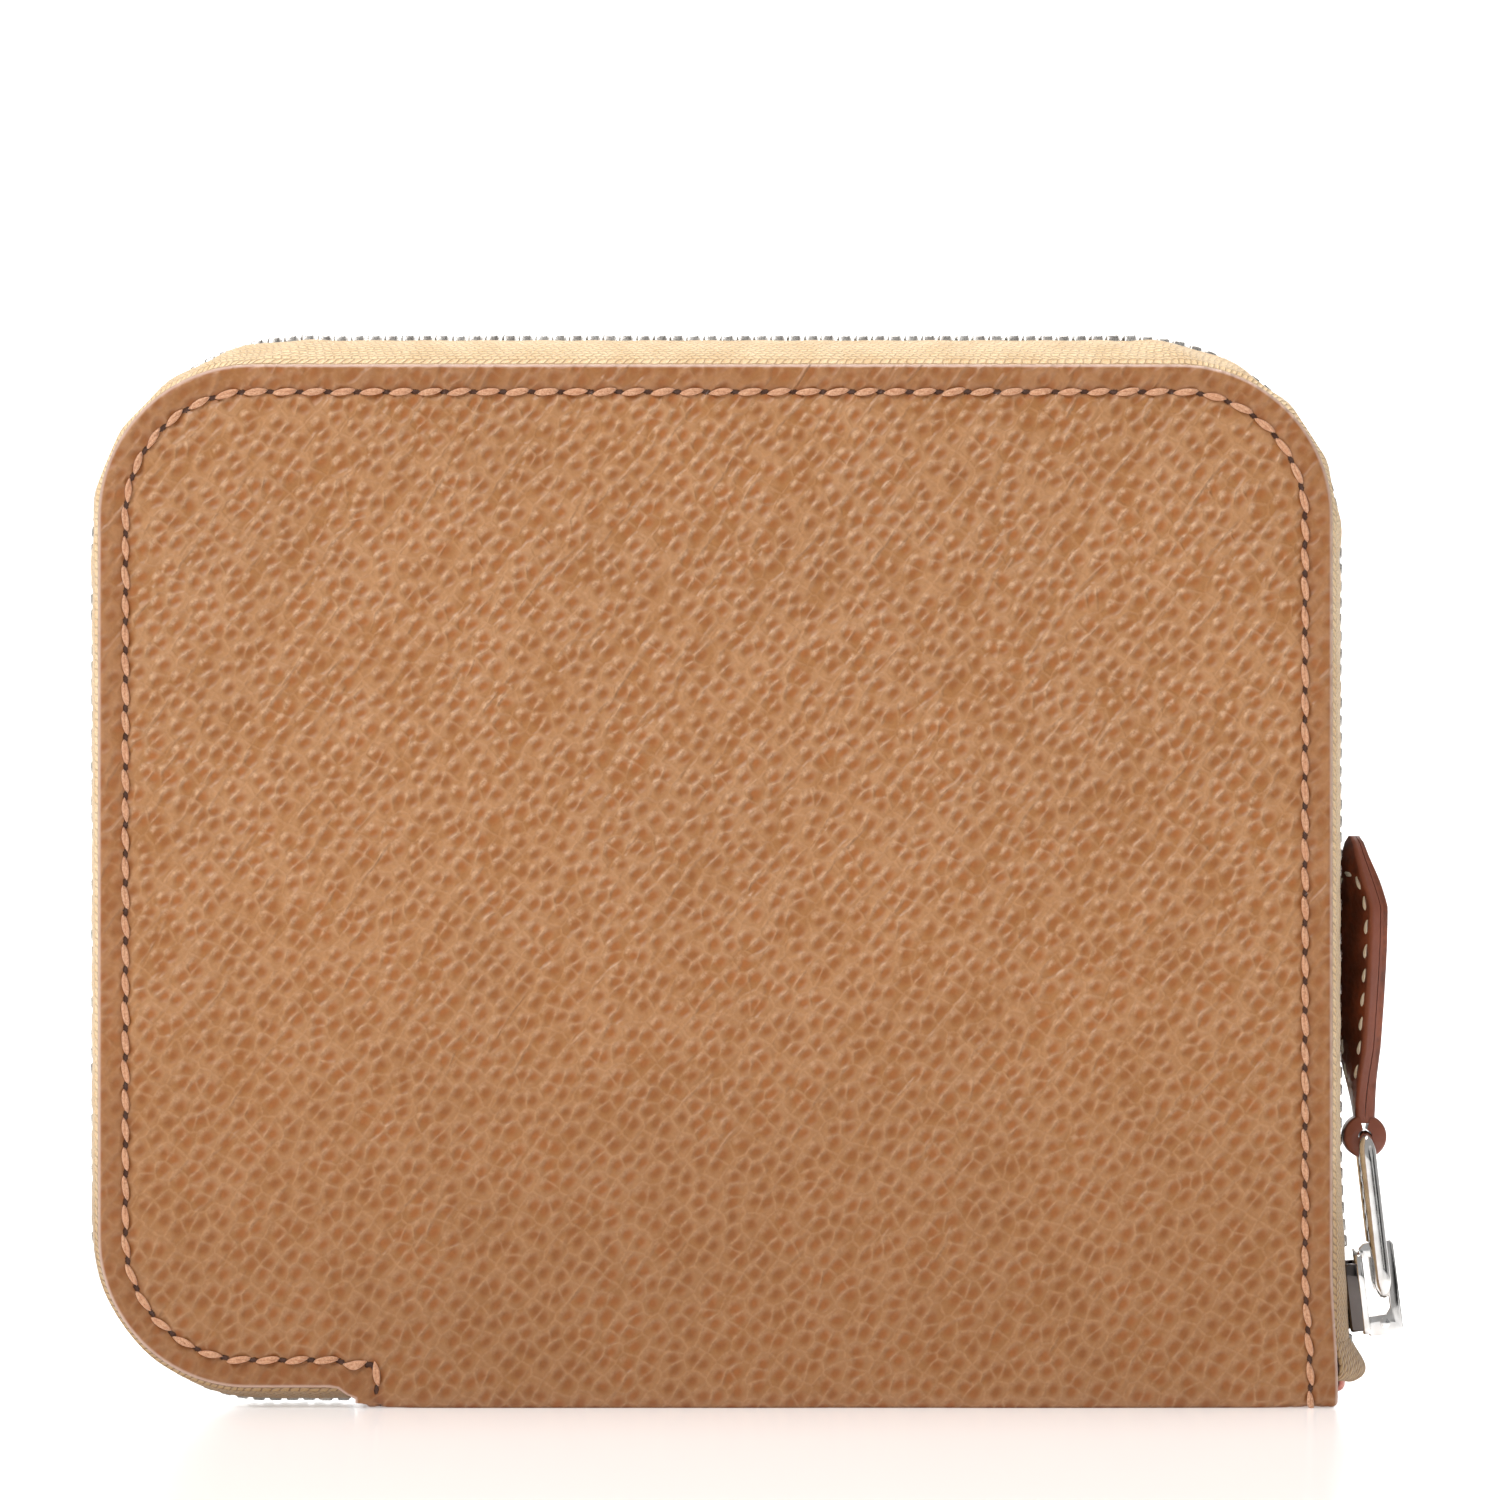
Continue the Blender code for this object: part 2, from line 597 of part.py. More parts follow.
def pull_bail(parent):
    """A long rectangular ring: its lower bar turns under the bridge, its top bar holds the tab."""
    pivot = parent_pivot(parent)
    foot = Vector((BAIL_PIVOT[0], 0.0, BAIL_PIVOT[1]))
    head = Vector((TAB_PIVOT[0], 0.0, TAB_PIVOT[1]))
    along = (head - foot).normalized()
    across = Vector((along.z, 0.0, -along.x)) * (BAIL_THICKNESS / 2)
    rings = []
    for end, turn in ((foot, -1), (head, 1)):
        for side in (-turn, turn):
            far = end + along * turn * BAIL_BAR_HALF + Vector((0, side * BAIL_OUTER_HALF, 0))
            near = end - along * turn * BAIL_BAR_HALF + Vector((0, side * BAIL_INNER_HALF, 0))
            rings.append([far - across, far + across, near + across, near - across])
    mesh = loft("pull_bail", rings, closed=True, pivot=pivot)
    finish_as(place("pull_bail", mesh, parent, pivot), SILVER, 0.08, 1.0)


def pull_tab(parent):
    """The leather tab: a strip doubled round the bail's top bar and stitched to itself."""
    pivot = parent_pivot(parent)
    loop = arc(TAB_PIVOT, TAB_LOOP, *TAB_LOOP_TURN, TAB_LOOP_STEPS)
    hole = arc(TAB_PIVOT, TAB_HOLE, *TAB_LOOP_TURN, TAB_LOOP_STEPS)
    x, z = TAB_PIVOT
    closing = [((TAB_FACE_X[1], TAB_CLOSING_Z), (x + TAB_CLOSING_HALF, z + TAB_HOLE)),
               ((TAB_FACE_X[0], TAB_CLOSING_Z), (x - TAB_CLOSING_HALF, z + TAB_HOLE))]
    rings = []
    for (outer_x, outer_z), (hole_x, hole_z) in closing[:1] + list(zip(loop, hole)) + closing[1:]:
        rings.append([
            (outer_x, -TAB_NECK_HALF, outer_z), (outer_x, TAB_NECK_HALF, outer_z),
            (hole_x, TAB_NECK_HALF, hole_z), (hole_x, -TAB_NECK_HALF, hole_z),
        ])
    tab = place("pull_tab", loft("pull_tab", rings, closed=True, pivot=pivot), parent, pivot)
    finish_as(tab, RUSSET, 0.45)
    blade = list(TAB_HALF_PLAN) + [(-y, z) for y, z in reversed(TAB_HALF_PLAN[:-1])]
    mesh = prism("pull_tab_blade", blade, TAB_FACE_X[0] + TAB_SKIN, TAB_FACE_X[1] - TAB_SKIN, "X", pivot)
    unite(tab, place("pull_tab_blade", mesh, parent, pivot))
    depth = TAB_FACE_X[1] + GAP + THREAD_RADIUS
    stitched = [(depth, TAB_SEAM_WIDTH * y, TAB_SEAM_FOOT + TAB_SEAM_HEIGHT * (z - TAB_SEAM_FOOT))
                for y, z in TAB_HALF_PLAN[1:]]
    stitched += [(depth, -y, z) for depth, y, z in reversed(stitched[:-1])]
    curve = thread_curve("pull_tab_thread", stitched, pivot=pivot)
    finish_as(place("pull_tab_thread", curve, parent, pivot), PALE_THREAD, 0.7)


def purse_slider(parent):
    """The coin purse's slider and the staple that its puller hangs in."""
    pivot = parent_pivot(parent)
    x_low, x_high = PURSE_SLIDER_X
    top = box_outline(x_low, x_high, PURSE_MIDDLE - PURSE_PLATE_HALF, PURSE_MIDDLE + PURSE_PLATE_HALF)
    mesh = prism("purse_slider_body", top, *PURSE_PLATE_Z, "Z", pivot)
    body = place("purse_slider_body", mesh, parent, pivot)
    finish_as(body, SILVER, 0.15, 1.0)
    under = box_outline(x_low, x_high, PURSE_MIDDLE - PURSE_UNDER_HALF, PURSE_MIDDLE + PURSE_UNDER_HALF)
    mesh = prism("purse_slider_under", under, *PURSE_UNDER_Z, "Z", pivot)
    unite(body, place("purse_slider_under", mesh, parent, pivot))
    post = box_outline(x_high - PURSE_POST_FROM_END[0], x_high - PURSE_POST_FROM_END[1],
                       PURSE_MIDDLE - PURSE_POST_HALF, PURSE_MIDDLE + PURSE_POST_HALF)
    foot, head = PURSE_UNDER_Z[0] + PURSE_POST_HALF, PURSE_PLATE_Z[1] - PURSE_POST_HALF
    mesh = prism("purse_slider_post", post, foot, head, "Z", pivot)
    unite(body, place("purse_slider_post", mesh, parent, pivot))
    x, z = PURSE_PIVOT
    outer, inner = STAPLE_HALF
    crown, ceiling = z + STAPLE_RISE[0], z + STAPLE_RISE[1]
    staple = [(x - outer, STAPLE_FOOT), (x - outer, crown), (x + outer, crown), (x + outer, STAPLE_FOOT),
              (x + inner, STAPLE_FOOT), (x + inner, ceiling), (x - inner, ceiling), (x - inner, STAPLE_FOOT)]
    mesh = prism("purse_slider_staple", staple, PURSE_MIDDLE - STAPLE_HALF_WIDTH,
                 PURSE_MIDDLE + STAPLE_HALF_WIDTH, "Y", pivot)
    finish_as(place("purse_slider_staple", mesh, parent, pivot), SILVER, 0.15, 1.0)


def purse_pull(parent):
    """The purse's puller: a flat strip with an eye, its end bar turning inside the staple."""
    pivot = parent_pivot(parent)
    x, z = PURSE_PIVOT
    low, high = z - PULLER_HALF_THICKNESS, z + PULLER_HALF_THICKNESS
    rings = []
    for (outer_x, outer_half, inner_x, inner_half), turn in ((PULLER_BAR, 1), (PULLER_TIP, -1)):
        for side in (-turn, turn):
            outer_y = PURSE_MIDDLE + side * outer_half
            inner_y = PURSE_MIDDLE + side * inner_half
            rings.append([(x + outer_x, outer_y, low), (x + outer_x, outer_y, high),
                          (x + inner_x, inner_y, high), (x + inner_x, inner_y, low)])
    mesh = loft("purse_pull", rings, closed=True, pivot=pivot)
    finish_as(place("purse_pull", mesh, parent, pivot), SILVER, 0.12, 1.0)


def build():
    """The whole wallet."""
    clear_scene()
    fold = HALF_DEPTH - LEATHER
    front_fold = empty_at("front_fold", 0.0, -fold, LEATHER)
    rear_fold = empty_at("rear_fold", 0.0, fold, LEATHER)
    spine()
    coin_purse()
    cover(FRONT, "front", front_fold)
    cover_sheet("slip_pocket", FRONT, slip_pocket_outline(), POCKET_FACE, POCKET_LEATHER,
                front_fold, CAMEL, 0.5)
    cover(REAR, "rear", rear_fold)
    card_pockets(rear_fold)
    main_slider(empty_at("slider_track", CHAIN_RIGHT, 0.0, SLIDER_BOTTOM))
    pull_bail(empty_at("bail_axis", BAIL_PIVOT[0], 0.0, BAIL_PIVOT[1]))
    pull_tab(empty_at("tab_axis", TAB_PIVOT[0], 0.0, TAB_PIVOT[1]))
    purse_slider(empty_at("purse_track", PURSE_PIVOT[0], PURSE_MIDDLE, PURSE_CHAIN_TOP))
    purse_pull(empty_at("purse_pull_axis", PURSE_PIVOT[0], PURSE_MIDDLE, PURSE_PIVOT[1]))


build()
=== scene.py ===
from math import atan2, cos, hypot, pi, radians, sin, sqrt

import bmesh
import bpy
import numpy as np
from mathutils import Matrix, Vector, noise


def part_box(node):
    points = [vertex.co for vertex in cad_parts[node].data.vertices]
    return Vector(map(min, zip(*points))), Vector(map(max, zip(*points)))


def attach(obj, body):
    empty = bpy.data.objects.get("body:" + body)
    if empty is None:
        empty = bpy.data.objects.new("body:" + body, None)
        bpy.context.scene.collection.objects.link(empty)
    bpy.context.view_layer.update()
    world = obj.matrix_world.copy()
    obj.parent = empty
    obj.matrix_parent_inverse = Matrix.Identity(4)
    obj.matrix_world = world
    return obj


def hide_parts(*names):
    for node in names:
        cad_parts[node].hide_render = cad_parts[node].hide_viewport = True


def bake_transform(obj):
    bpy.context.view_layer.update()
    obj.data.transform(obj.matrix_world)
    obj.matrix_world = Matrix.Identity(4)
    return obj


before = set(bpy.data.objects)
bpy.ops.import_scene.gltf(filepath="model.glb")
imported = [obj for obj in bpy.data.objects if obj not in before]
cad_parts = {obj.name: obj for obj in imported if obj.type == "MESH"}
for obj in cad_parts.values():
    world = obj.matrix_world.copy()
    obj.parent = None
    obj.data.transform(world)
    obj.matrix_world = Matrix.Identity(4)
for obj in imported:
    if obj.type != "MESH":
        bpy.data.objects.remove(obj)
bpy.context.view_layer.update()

# The looks of a zip-around leather wallet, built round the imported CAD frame.
# Lengths are in millimetres until a mesh is made: x to the right, y towards the back, z up.

MM = 0.001


def box_mm(node):
    """Lowest and highest corner of a CAD node, in millimetres."""
    low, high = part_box(node)
    return [value / MM for value in low], [value / MM for value in high]


COVER_LOW, COVER_HIGH = box_mm("front_cover_leather")
CHAIN_LOW, CHAIN_HIGH = box_mm("front_zip_teeth")
HALF_WIDTH = COVER_HIGH[0]
COVER_TOP = COVER_HIGH[2]
FACE = -COVER_LOW[1]               # outer face of a cover to the middle plane
SPINE_LEFT = box_mm("spine_leather")[0][0]
FOLD = 1.3                         # outer radius of the rolled fold
FOLD_Y = FACE - FOLD
FOLD_ARC = FOLD * pi / 2
SPINE_END = FOLD - FOLD_ARC - FOLD_Y   # unrolled height of the spine's middle line
TAIL = 2.0                         # lower edge of a cover beyond the end of the spine
TOP_RADIUS = 15.0
TAIL_RADIUS = 14.7
LEATHER = 1.15
SEAM_INSET = 2.7
STITCH_PITCH = 2.85
STITCH_LENGTH = 2.4
STITCH_WIDTH = 0.29
STITCH_PLY = 0.2
STITCH_LEAN = 9                    # degrees off the seam's line
FRONT = -1
REAR = 1
COVER_BODY = {FRONT: "front_cover", REAR: "rear_cover"}
WORD = {FRONT: "front", REAR: "rear"}


# Mesh helpers -----------------------------------------------------------------------------------

def srgb(red, green, blue):
    """A linear colour from 0-255 display values."""
    def linear(value):
        value /= 255
        return value / 12.92 if value <= 0.04045 else ((value + 0.055) / 1.055) ** 2.4
    return linear(red), linear(green), linear(blue)


def smooth(value):
    """Smooth step from 0 to 1, for numbers and arrays."""
    value = np.clip(value, 0.0, 1.0)
    return value * value * (3 - 2 * value)


def make(name, points, faces, material, sharp=None):
    """A smooth-shaded object from points in millimetres, with their rest places remembered."""
    points = np.asarray(points, dtype=float)
    mesh = bpy.data.meshes.new(name)
    mesh.from_pydata((points * MM).tolist(), [], [list(map(int, face)) for face in faces])
    mesh.validate()
    thing = bpy.data.objects.new(name, mesh)
    bpy.context.scene.collection.objects.link(thing)
    mesh.materials.append(material)
    mesh.shade_smooth()
    if sharp is not None:
        mesh.set_sharp_from_angle(angle=radians(sharp))
    remember(thing)
    return thing


def remember(thing):
    """Store each vertex's rest place in millimetres, which the materials read."""
    mesh = thing.data
    flat = np.empty(len(mesh.vertices) * 3, dtype=np.float32)
    mesh.vertices.foreach_get("co", flat)
    store(thing, "rest", flat.reshape(-1, 3) / MM)


def store(thing, name, values):
    """Store a number or a vector for every vertex."""
    values = np.asarray(values, dtype=np.float32)
    kind = "FLOAT_VECTOR" if values.ndim == 2 else "FLOAT"
    mesh = thing.data
    if name in mesh.attributes:
        mesh.attributes.remove(mesh.attributes[name])
    layer = mesh.attributes.new(name, kind, "POINT")
    layer.data.foreach_set("vector" if values.ndim == 2 else "value", values.ravel())


def grid_faces(rows, columns, start=0, wrap_rows=False, wrap_columns=False, flip=False, skip=None):
    """Quads between rows of points that are numbered row by row; skip(row, column) leaves one out."""
    faces = []
    for row in range(rows if wrap_rows else rows - 1):
        below = start + row * columns
        above = start + (row + 1) % rows * columns
        for column in range(columns if wrap_columns else columns - 1):
            if skip and skip(row, column):
                continue
            after = (column + 1) % columns
            quad = [below + column, below + after, above + after, above + column]
            faces.append(quad[::-1] if flip else quad)
    return faces


def skin_faces(rows, columns):
    """Faces of a thin closed piece: two skins of points, row by row, and the walls between their rims."""
    base = rows * columns
    faces = grid_faces(rows, columns) + grid_faces(rows, columns, start=base, flip=True)
    for row in range(rows - 1):
        for column in (0, columns - 1):
            a, b = row * columns + column, (row + 1) * columns + column
            faces.append([a, b, base + b, base + a])
    for row in (0, rows - 1):
        for column in range(columns - 1):
            a = row * columns + column
            faces.append([a, a + 1, base + a + 1, base + a])
    return faces


def join_parts(parts):
    """Points and faces of several (points, faces) parts as one."""
    points = []
    faces = []
    for part_points, part_faces in parts:
        base = len(points)
        points.extend(part_points)
        faces.extend([base + index for index in face] for face in part_faces)
    return points, faces


def polyline_place(points, line):
    """For each 2-D point, the nearest place on a polyline: (length along it, signed distance)."""
    line = line[np.concatenate([[True], np.hypot(*np.diff(line, axis=0).T) > 1e-6])]
    starts = line[:-1]
    steps = line[1:] - starts
    lengths = np.hypot(steps[:, 0], steps[:, 1])
    before = np.concatenate([[0.0], np.cumsum(lengths)[:-1]])
    along = np.empty(len(points))
    away = np.empty(len(points))
    for low in range(0, len(points), 2000):
        part = points[low:low + 2000]
        rel = part[:, None, :] - starts[None]
        share = np.clip((rel * steps[None]).sum(2) / (lengths ** 2)[None], 0, 1)
        gap = rel - share[..., None] * steps[None]
        distance = np.hypot(gap[..., 0], gap[..., 1])
        best = distance.argmin(1)
        pick = np.arange(len(part))
        side = np.sign(steps[best, 0] * gap[pick, best, 1] - steps[best, 1] * gap[pick, best, 0])
        along[low:low + 2000] = before[best] + share[pick, best] * lengths[best]
        away[low:low + 2000] = distance[pick, best] * np.where(side == 0, 1, side)
    return along, away


def resample(line, step):
    """Points at even steps along a polyline, both ends included."""
    lengths = np.hypot(*np.diff(line, axis=0).T)
    run = np.concatenate([[0.0], np.cumsum(lengths)])
    count = max(1, round(run[-1] / step))
    wanted = np.linspace(0, run[-1], count + 1)
    return np.column_stack([np.interp(wanted, run, line[:, axis]) for axis in range(2)])


def arc_points(centre, radius, start, end, count):
    """Points along a circle's arc between two angles in degrees."""
    angles = np.radians(np.linspace(start, end, count))
    return np.column_stack([centre[0] + radius * np.cos(angles), centre[1] + radius * np.sin(angles)])


# Shader helper ----------------------------------------------------------------------------------

class Shade:
    """A material's node tree, with short calls for the nodes used here."""

    def __init__(self, name, roughness=0.5, metallic=0.0, **sockets):
        self.material = bpy.data.materials.new(name)
        self.material.use_nodes = True
        self.tree = self.material.node_tree
        self.shader = self.tree.nodes["Principled BSDF"]
        self.shader.inputs["Roughness"].default_value = roughness
        self.shader.inputs["Metallic"].default_value = metallic
        for key, value in sockets.items():
            self.shader.inputs[key.replace("_", " ")].default_value = value

    def node(self, kind, inputs, output=0, **settings):
        """Add a node, set its inputs and settings, and give one of its outputs."""
        node = self.tree.nodes.new("ShaderNode" + kind)
        for key, value in settings.items():
            setattr(node, key, value)
        for key, value in inputs.items():
            self.put(value, node.inputs[key])
        return node.outputs[output]

    def put(self, value, socket):
        """Link a socket to another one, or set its plain value."""
        if isinstance(value, bpy.types.NodeSocket):
            self.tree.links.new(value, socket)
        elif isinstance(value, tuple) and socket.type == "RGBA":
            socket.default_value = (*value, 1.0)
        else:
            socket.default_value = value

    def stored(self, name, output="Vector"):
        """A value stored on the mesh."""
        return self.node("Attribute", {}, output, attribute_name=name)

    def math(self, operation, first, second=0.0, third=0.0, clamp=False):
        return self.node("Math", {0: first, 1: second, 2: third}, operation=operation, use_clamp=clamp)

    def add(self, first, second):
        return self.math("ADD", first, second)

    def times(self, first, second):
        return self.math("MULTIPLY", first, second)

    def ramp(self, value, low, high, to_low=0.0, to_high=1.0):
        """A smooth step between two levels as the value goes from low to high."""
        inputs = {"Value": value, "From Min": low, "From Max": high, "To Min": to_low, "To Max": to_high}
        return self.node("MapRange", inputs, interpolation_type="SMOOTHSTEP")

    def mix(self, share, first, second, blend="MIX"):
        node = self.tree.nodes.new("ShaderNodeMix")
        node.data_type = "RGBA"
        node.blend_type = blend
        self.put(share, node.inputs[0])
        self.put(first, node.inputs[6])
        self.put(second, node.inputs[7])
        return node.outputs[2]

    def tinted(self, colour, value):
        """A colour made lighter or darker by a value round 1."""
        grey = self.node("CombineXYZ", {0: value, 1: value, 2: value})
        return self.mix(1.0, colour, grey, "MULTIPLY")

    def mapped(self, vector, scale=(1, 1, 1), turn=(0, 0, 0), shift=(0, 0, 0)):
        inputs = {"Vector": vector, "Location": shift, "Rotation": turn, "Scale": scale}
        return self.node("Mapping", inputs)

    def noise(self, vector, scale, detail=2.0, rough=0.5, distortion=0.0, output=0):
        inputs = {"Vector": vector, "Scale": scale, "Detail": detail, "Roughness": rough,
                  "Distortion": distortion}
        return self.node("TexNoise", inputs, output)

    def voronoi(self, vector, scale, feature="F1", output=0, flat=False, **more):
        inputs = {"Vector": vector, "Scale": scale, **more}
        space = "2D" if flat else "3D"
        return self.node("TexVoronoi", inputs, output, feature=feature, voronoi_dimensions=space)

    def warped(self, vector, amount, scale):
        """A vector shifted by soft noise."""
        colour = self.noise(vector, scale, output=1)
        centred = self.node("VectorMath", {0: colour, 1: (0.5, 0.5, 0.5)}, operation="SUBTRACT")
        shift = self.node("VectorMath", {0: centred, "Scale": amount}, operation="SCALE")
        return self.node("VectorMath", {0: vector, 1: shift}, operation="ADD")

    def parts(self, vector):
        node = self.tree.nodes.new("ShaderNodeSeparateXYZ")
        self.put(vector, node.inputs[0])
        return node.outputs[0], node.outputs[1], node.outputs[2]

    def bump(self, height, depth, strength=1.0, normal=None):
        """A normal from a height of 0-1 that stands for depth millimetres."""
        inputs = {"Height": height, "Distance": depth * MM, "Strength": strength}
        if normal is not None:
            inputs["Normal"] = normal
        return self.node("Bump", inputs)

    def finish(self, colour=None, roughness=None, normal=None):
        for value, key in ((colour, "Base Color"), (roughness, "Roughness"), (normal, "Normal")):
            if value is not None:
                self.put(value, self.shader.inputs[key])
        return self.material


# The outer leather's shape ------------------------------------------------------------------------

def flare(x, height):
    """How far the lower right of a cover leans outwards."""
    return 0.55 * smooth((14 - height) / 12) * smooth((x - 38) / 22)


def step_sag(x, height):
    """How far the leather's edge curls down where the spine begins."""
    beyond = smooth((x - SPINE_LEFT + 2.1) / 2.1)
    within = 1 - smooth((x - SPINE_LEFT) / 3.0)
    near = np.where(x < SPINE_LEFT, beyond, within)
    level = np.where(height < TAIL, smooth(height / TAIL), 1 - smooth((height - TAIL) / 5.0))
    return 1.15 * near * level * (height > 0)


def step_lean(x, height):
    """How far the spine's left end is rounded off at its lower corner."""
    near = 1 - smooth((x - SPINE_LEFT) / 3.5)
    return 1.0 * near * np.clip(1 - height / 1.3, 0, 1) ** 2 * (x >= SPINE_LEFT - 0.5)


def on_sheet(x, height, lift, side):
    """A place on the outer leather: height follows the sheet down, round the fold and along the spine."""
    x = np.asarray(x, dtype=float)
    height = np.asarray(height, dtype=float)
    lift = np.asarray(lift, dtype=float)
    angle = np.clip((FOLD - height) / FOLD, 0, pi / 2)
    under = np.clip(FOLD - FOLD_ARC - height, 0, None)
    above = np.clip(height - FOLD, 0, None)
    away = FOLD_Y + (FOLD + lift) * np.cos(angle) - under
    z = FOLD + above - (FOLD + lift) * np.sin(angle)
    z = z - step_sag(x, height)
    return np.column_stack([x + flare(x, height) + step_lean(x, height), side * away, z])


def inset_outline(inset):
    """The sheet's outline moved inwards, in sides that match the inner grid's, each corner to corner."""
    moved = []
    inner_top = TOP_RADIUS - inset
    inner_tail = TAIL_RADIUS - inset
    right = HALF_WIDTH - TOP_RADIUS
    top = COVER_TOP - TOP_RADIUS
    tail_centre = (TAIL_RADIUS - HALF_WIDTH, TAIL + TAIL_RADIUS)
    half = 24
    low = SPINE_END + inset
    left = SPINE_LEFT + inset
    moved.append(np.array([[left, low], [HALF_WIDTH - inset, low]]))
    moved.append(np.vstack([[HALF_WIDTH - inset, low], arc_points((right, top), inner_top, 0, 45, half)]))
    moved.append(np.vstack([arc_points((right, top), inner_top, 45, 90, half),
                            arc_points((-right, top), inner_top, 90, 135, half)]))
    moved.append(np.vstack([arc_points((-right, top), inner_top, 135, 180, half),
                            arc_points(tail_centre, inner_tail, 180, 225, half)]))
    moved.append(np.vstack([arc_points(tail_centre, inner_tail, 225, 270, half), [left, TAIL + inset]]))
    moved.append(np.array([[left, TAIL + inset], [left, low]]))
    return moved


def even(line, count):
    """count points at even steps along a line, without its last point."""
    lengths = np.hypot(*np.diff(line, axis=0).T)
    run = np.concatenate([[0.0], np.cumsum(lengths)])
    wanted = np.linspace(0, run[-1], count + 1)[:-1]
    return np.column_stack([np.interp(wanted, run, line[:, axis]) for axis in range(2)])


GRID_LEFT, GRID_STEP, GRID_RIGHT = -44.5, -27.5, 44.5
GRID_LOW, GRID_MIDDLE, GRID_HIGH = -4.4, 18.0, 86.3
TAIL_COLUMNS, SPINE_COLUMNS, LOW_ROWS, HIGH_ROWS = 24, 102, 32, 98
EDGE_ROUND = 0.5
INNER_TOP = 10.0                   # the hide's inner face is seen up to here, where the board covers it
OTHER_HIDE = 200                   # the rear cover's grain is read this far along, so it differs


def leather_rings():
    """Matching rings of sheet places from the inner lip round the edge to the inner grid's outline."""
    counts = [SPINE_COLUMNS, LOW_ROWS + HIGH_ROWS, TAIL_COLUMNS + SPINE_COLUMNS, HIGH_ROWS, TAIL_COLUMNS,
              LOW_ROWS]
    corners = [(GRID_STEP, GRID_LOW), (GRID_RIGHT, GRID_LOW), (GRID_RIGHT, GRID_HIGH),
               (GRID_LEFT, GRID_HIGH), (GRID_LEFT, GRID_MIDDLE), (GRID_STEP, GRID_MIDDLE)]
    inner = []
    for index, count in enumerate(counts):
        after = corners[(index + 1) % len(corners)]
        inner.append(even(np.array([corners[index], after]), count))
    inner = np.vstack(inner)
    profile = [(6.0, -LEATHER), (3.0, -LEATHER), (0.6, -LEATHER), (0.2, 0.12 - LEATHER),
               (0.0, 0.35 - LEATHER), (0.0, -EDGE_ROUND)]
    insets = [0.02, 0.07, 0.15, 0.26, 0.38, 0.5, 0.75, 1.1, 1.5, 1.9, 2.2, 2.5, 2.7, 2.9, 3.2, 3.6, 4.2,
              5.0]
    rings = []
    for inset, lift in profile:
        outline = np.vstack([even(side, count) for side, count in zip(inset_outline(inset), counts)])
        rings.append((outline, np.full(len(outline), lift)))
    for inset in insets:
        outline = np.vstack([even(side, count) for side, count in zip(inset_outline(inset), counts)])
        rings.append((outline, None))
    last = rings[-1][0]
    band = 15
    for step in range(1, band):
        share = step / band
        rings.append((last * (1 - share) + inner * share, None))
    rings.append((inner, None))
    return rings, len(profile), counts


def free_edge():
    """The part of the sheet's outline that isn't joined to the other half of the spine."""
    return np.vstack(inset_outline(0)[1:])


def seam_line(step=0.4):
    """The stitching's route on the sheet, from the lower right round to the tail and down to the spine."""
    right = HALF_WIDTH - TOP_RADIUS
    top = COVER_TOP - TOP_RADIUS
    tail_centre = (TAIL_RADIUS - HALF_WIDTH, TAIL + TAIL_RADIUS)
    line = [np.array([[HALF_WIDTH - SEAM_INSET, -0.9]]),
            arc_points((right, top), TOP_RADIUS - SEAM_INSET, 0, 90, 40),
            arc_points((-right, top), TOP_RADIUS - SEAM_INSET, 90, 180, 40),
            arc_points(tail_centre, TAIL_RADIUS - SEAM_INSET, 180, 270, 40),
            arc_points((-34.2, TAIL + SEAM_INSET - 1.0), 1.0, 90, 0, 6),
            np.array([[-33.2, -0.6]])]
    return resample(np.vstack(line), step)


def relief(x, height, away, seam):
    """How far the leather's face stands in or out: rounded edge, sewn groove, padding and soft wrinkles."""
    rounded = np.clip(EDGE_ROUND - away, 0, EDGE_ROUND)
    lift = np.sqrt(EDGE_ROUND ** 2 - rounded ** 2) - EDGE_ROUND
    lift -= 0.20 * np.exp(-(seam / 0.55) ** 2)
    padding = smooth((away - 2.9) / 5.5)
    lift += 0.16 * padding - 0.05 * smooth((2.6 - away) / 1.0)
    swell = np.empty(len(x))
    crease = np.empty(len(x))
    slant = radians(52)
    for index in range(len(x)):
        across = -x[index] * sin(slant) + height[index] * cos(slant)
        along = x[index] * cos(slant) + height[index] * sin(slant)
        swell[index] = noise.noise(Vector((x[index] / 21, height[index] / 17, 3.7)))
        crease[index] = noise.noise(Vector((along / 10, across / 2.6, 8.1)))
    broad = smooth((away - 1.0) / 5.0)
    upper = smooth((height - 15) / 60)
    lift += broad * 0.16 * swell
    lift += broad * (0.03 + 0.05 * upper) * crease
    return lift


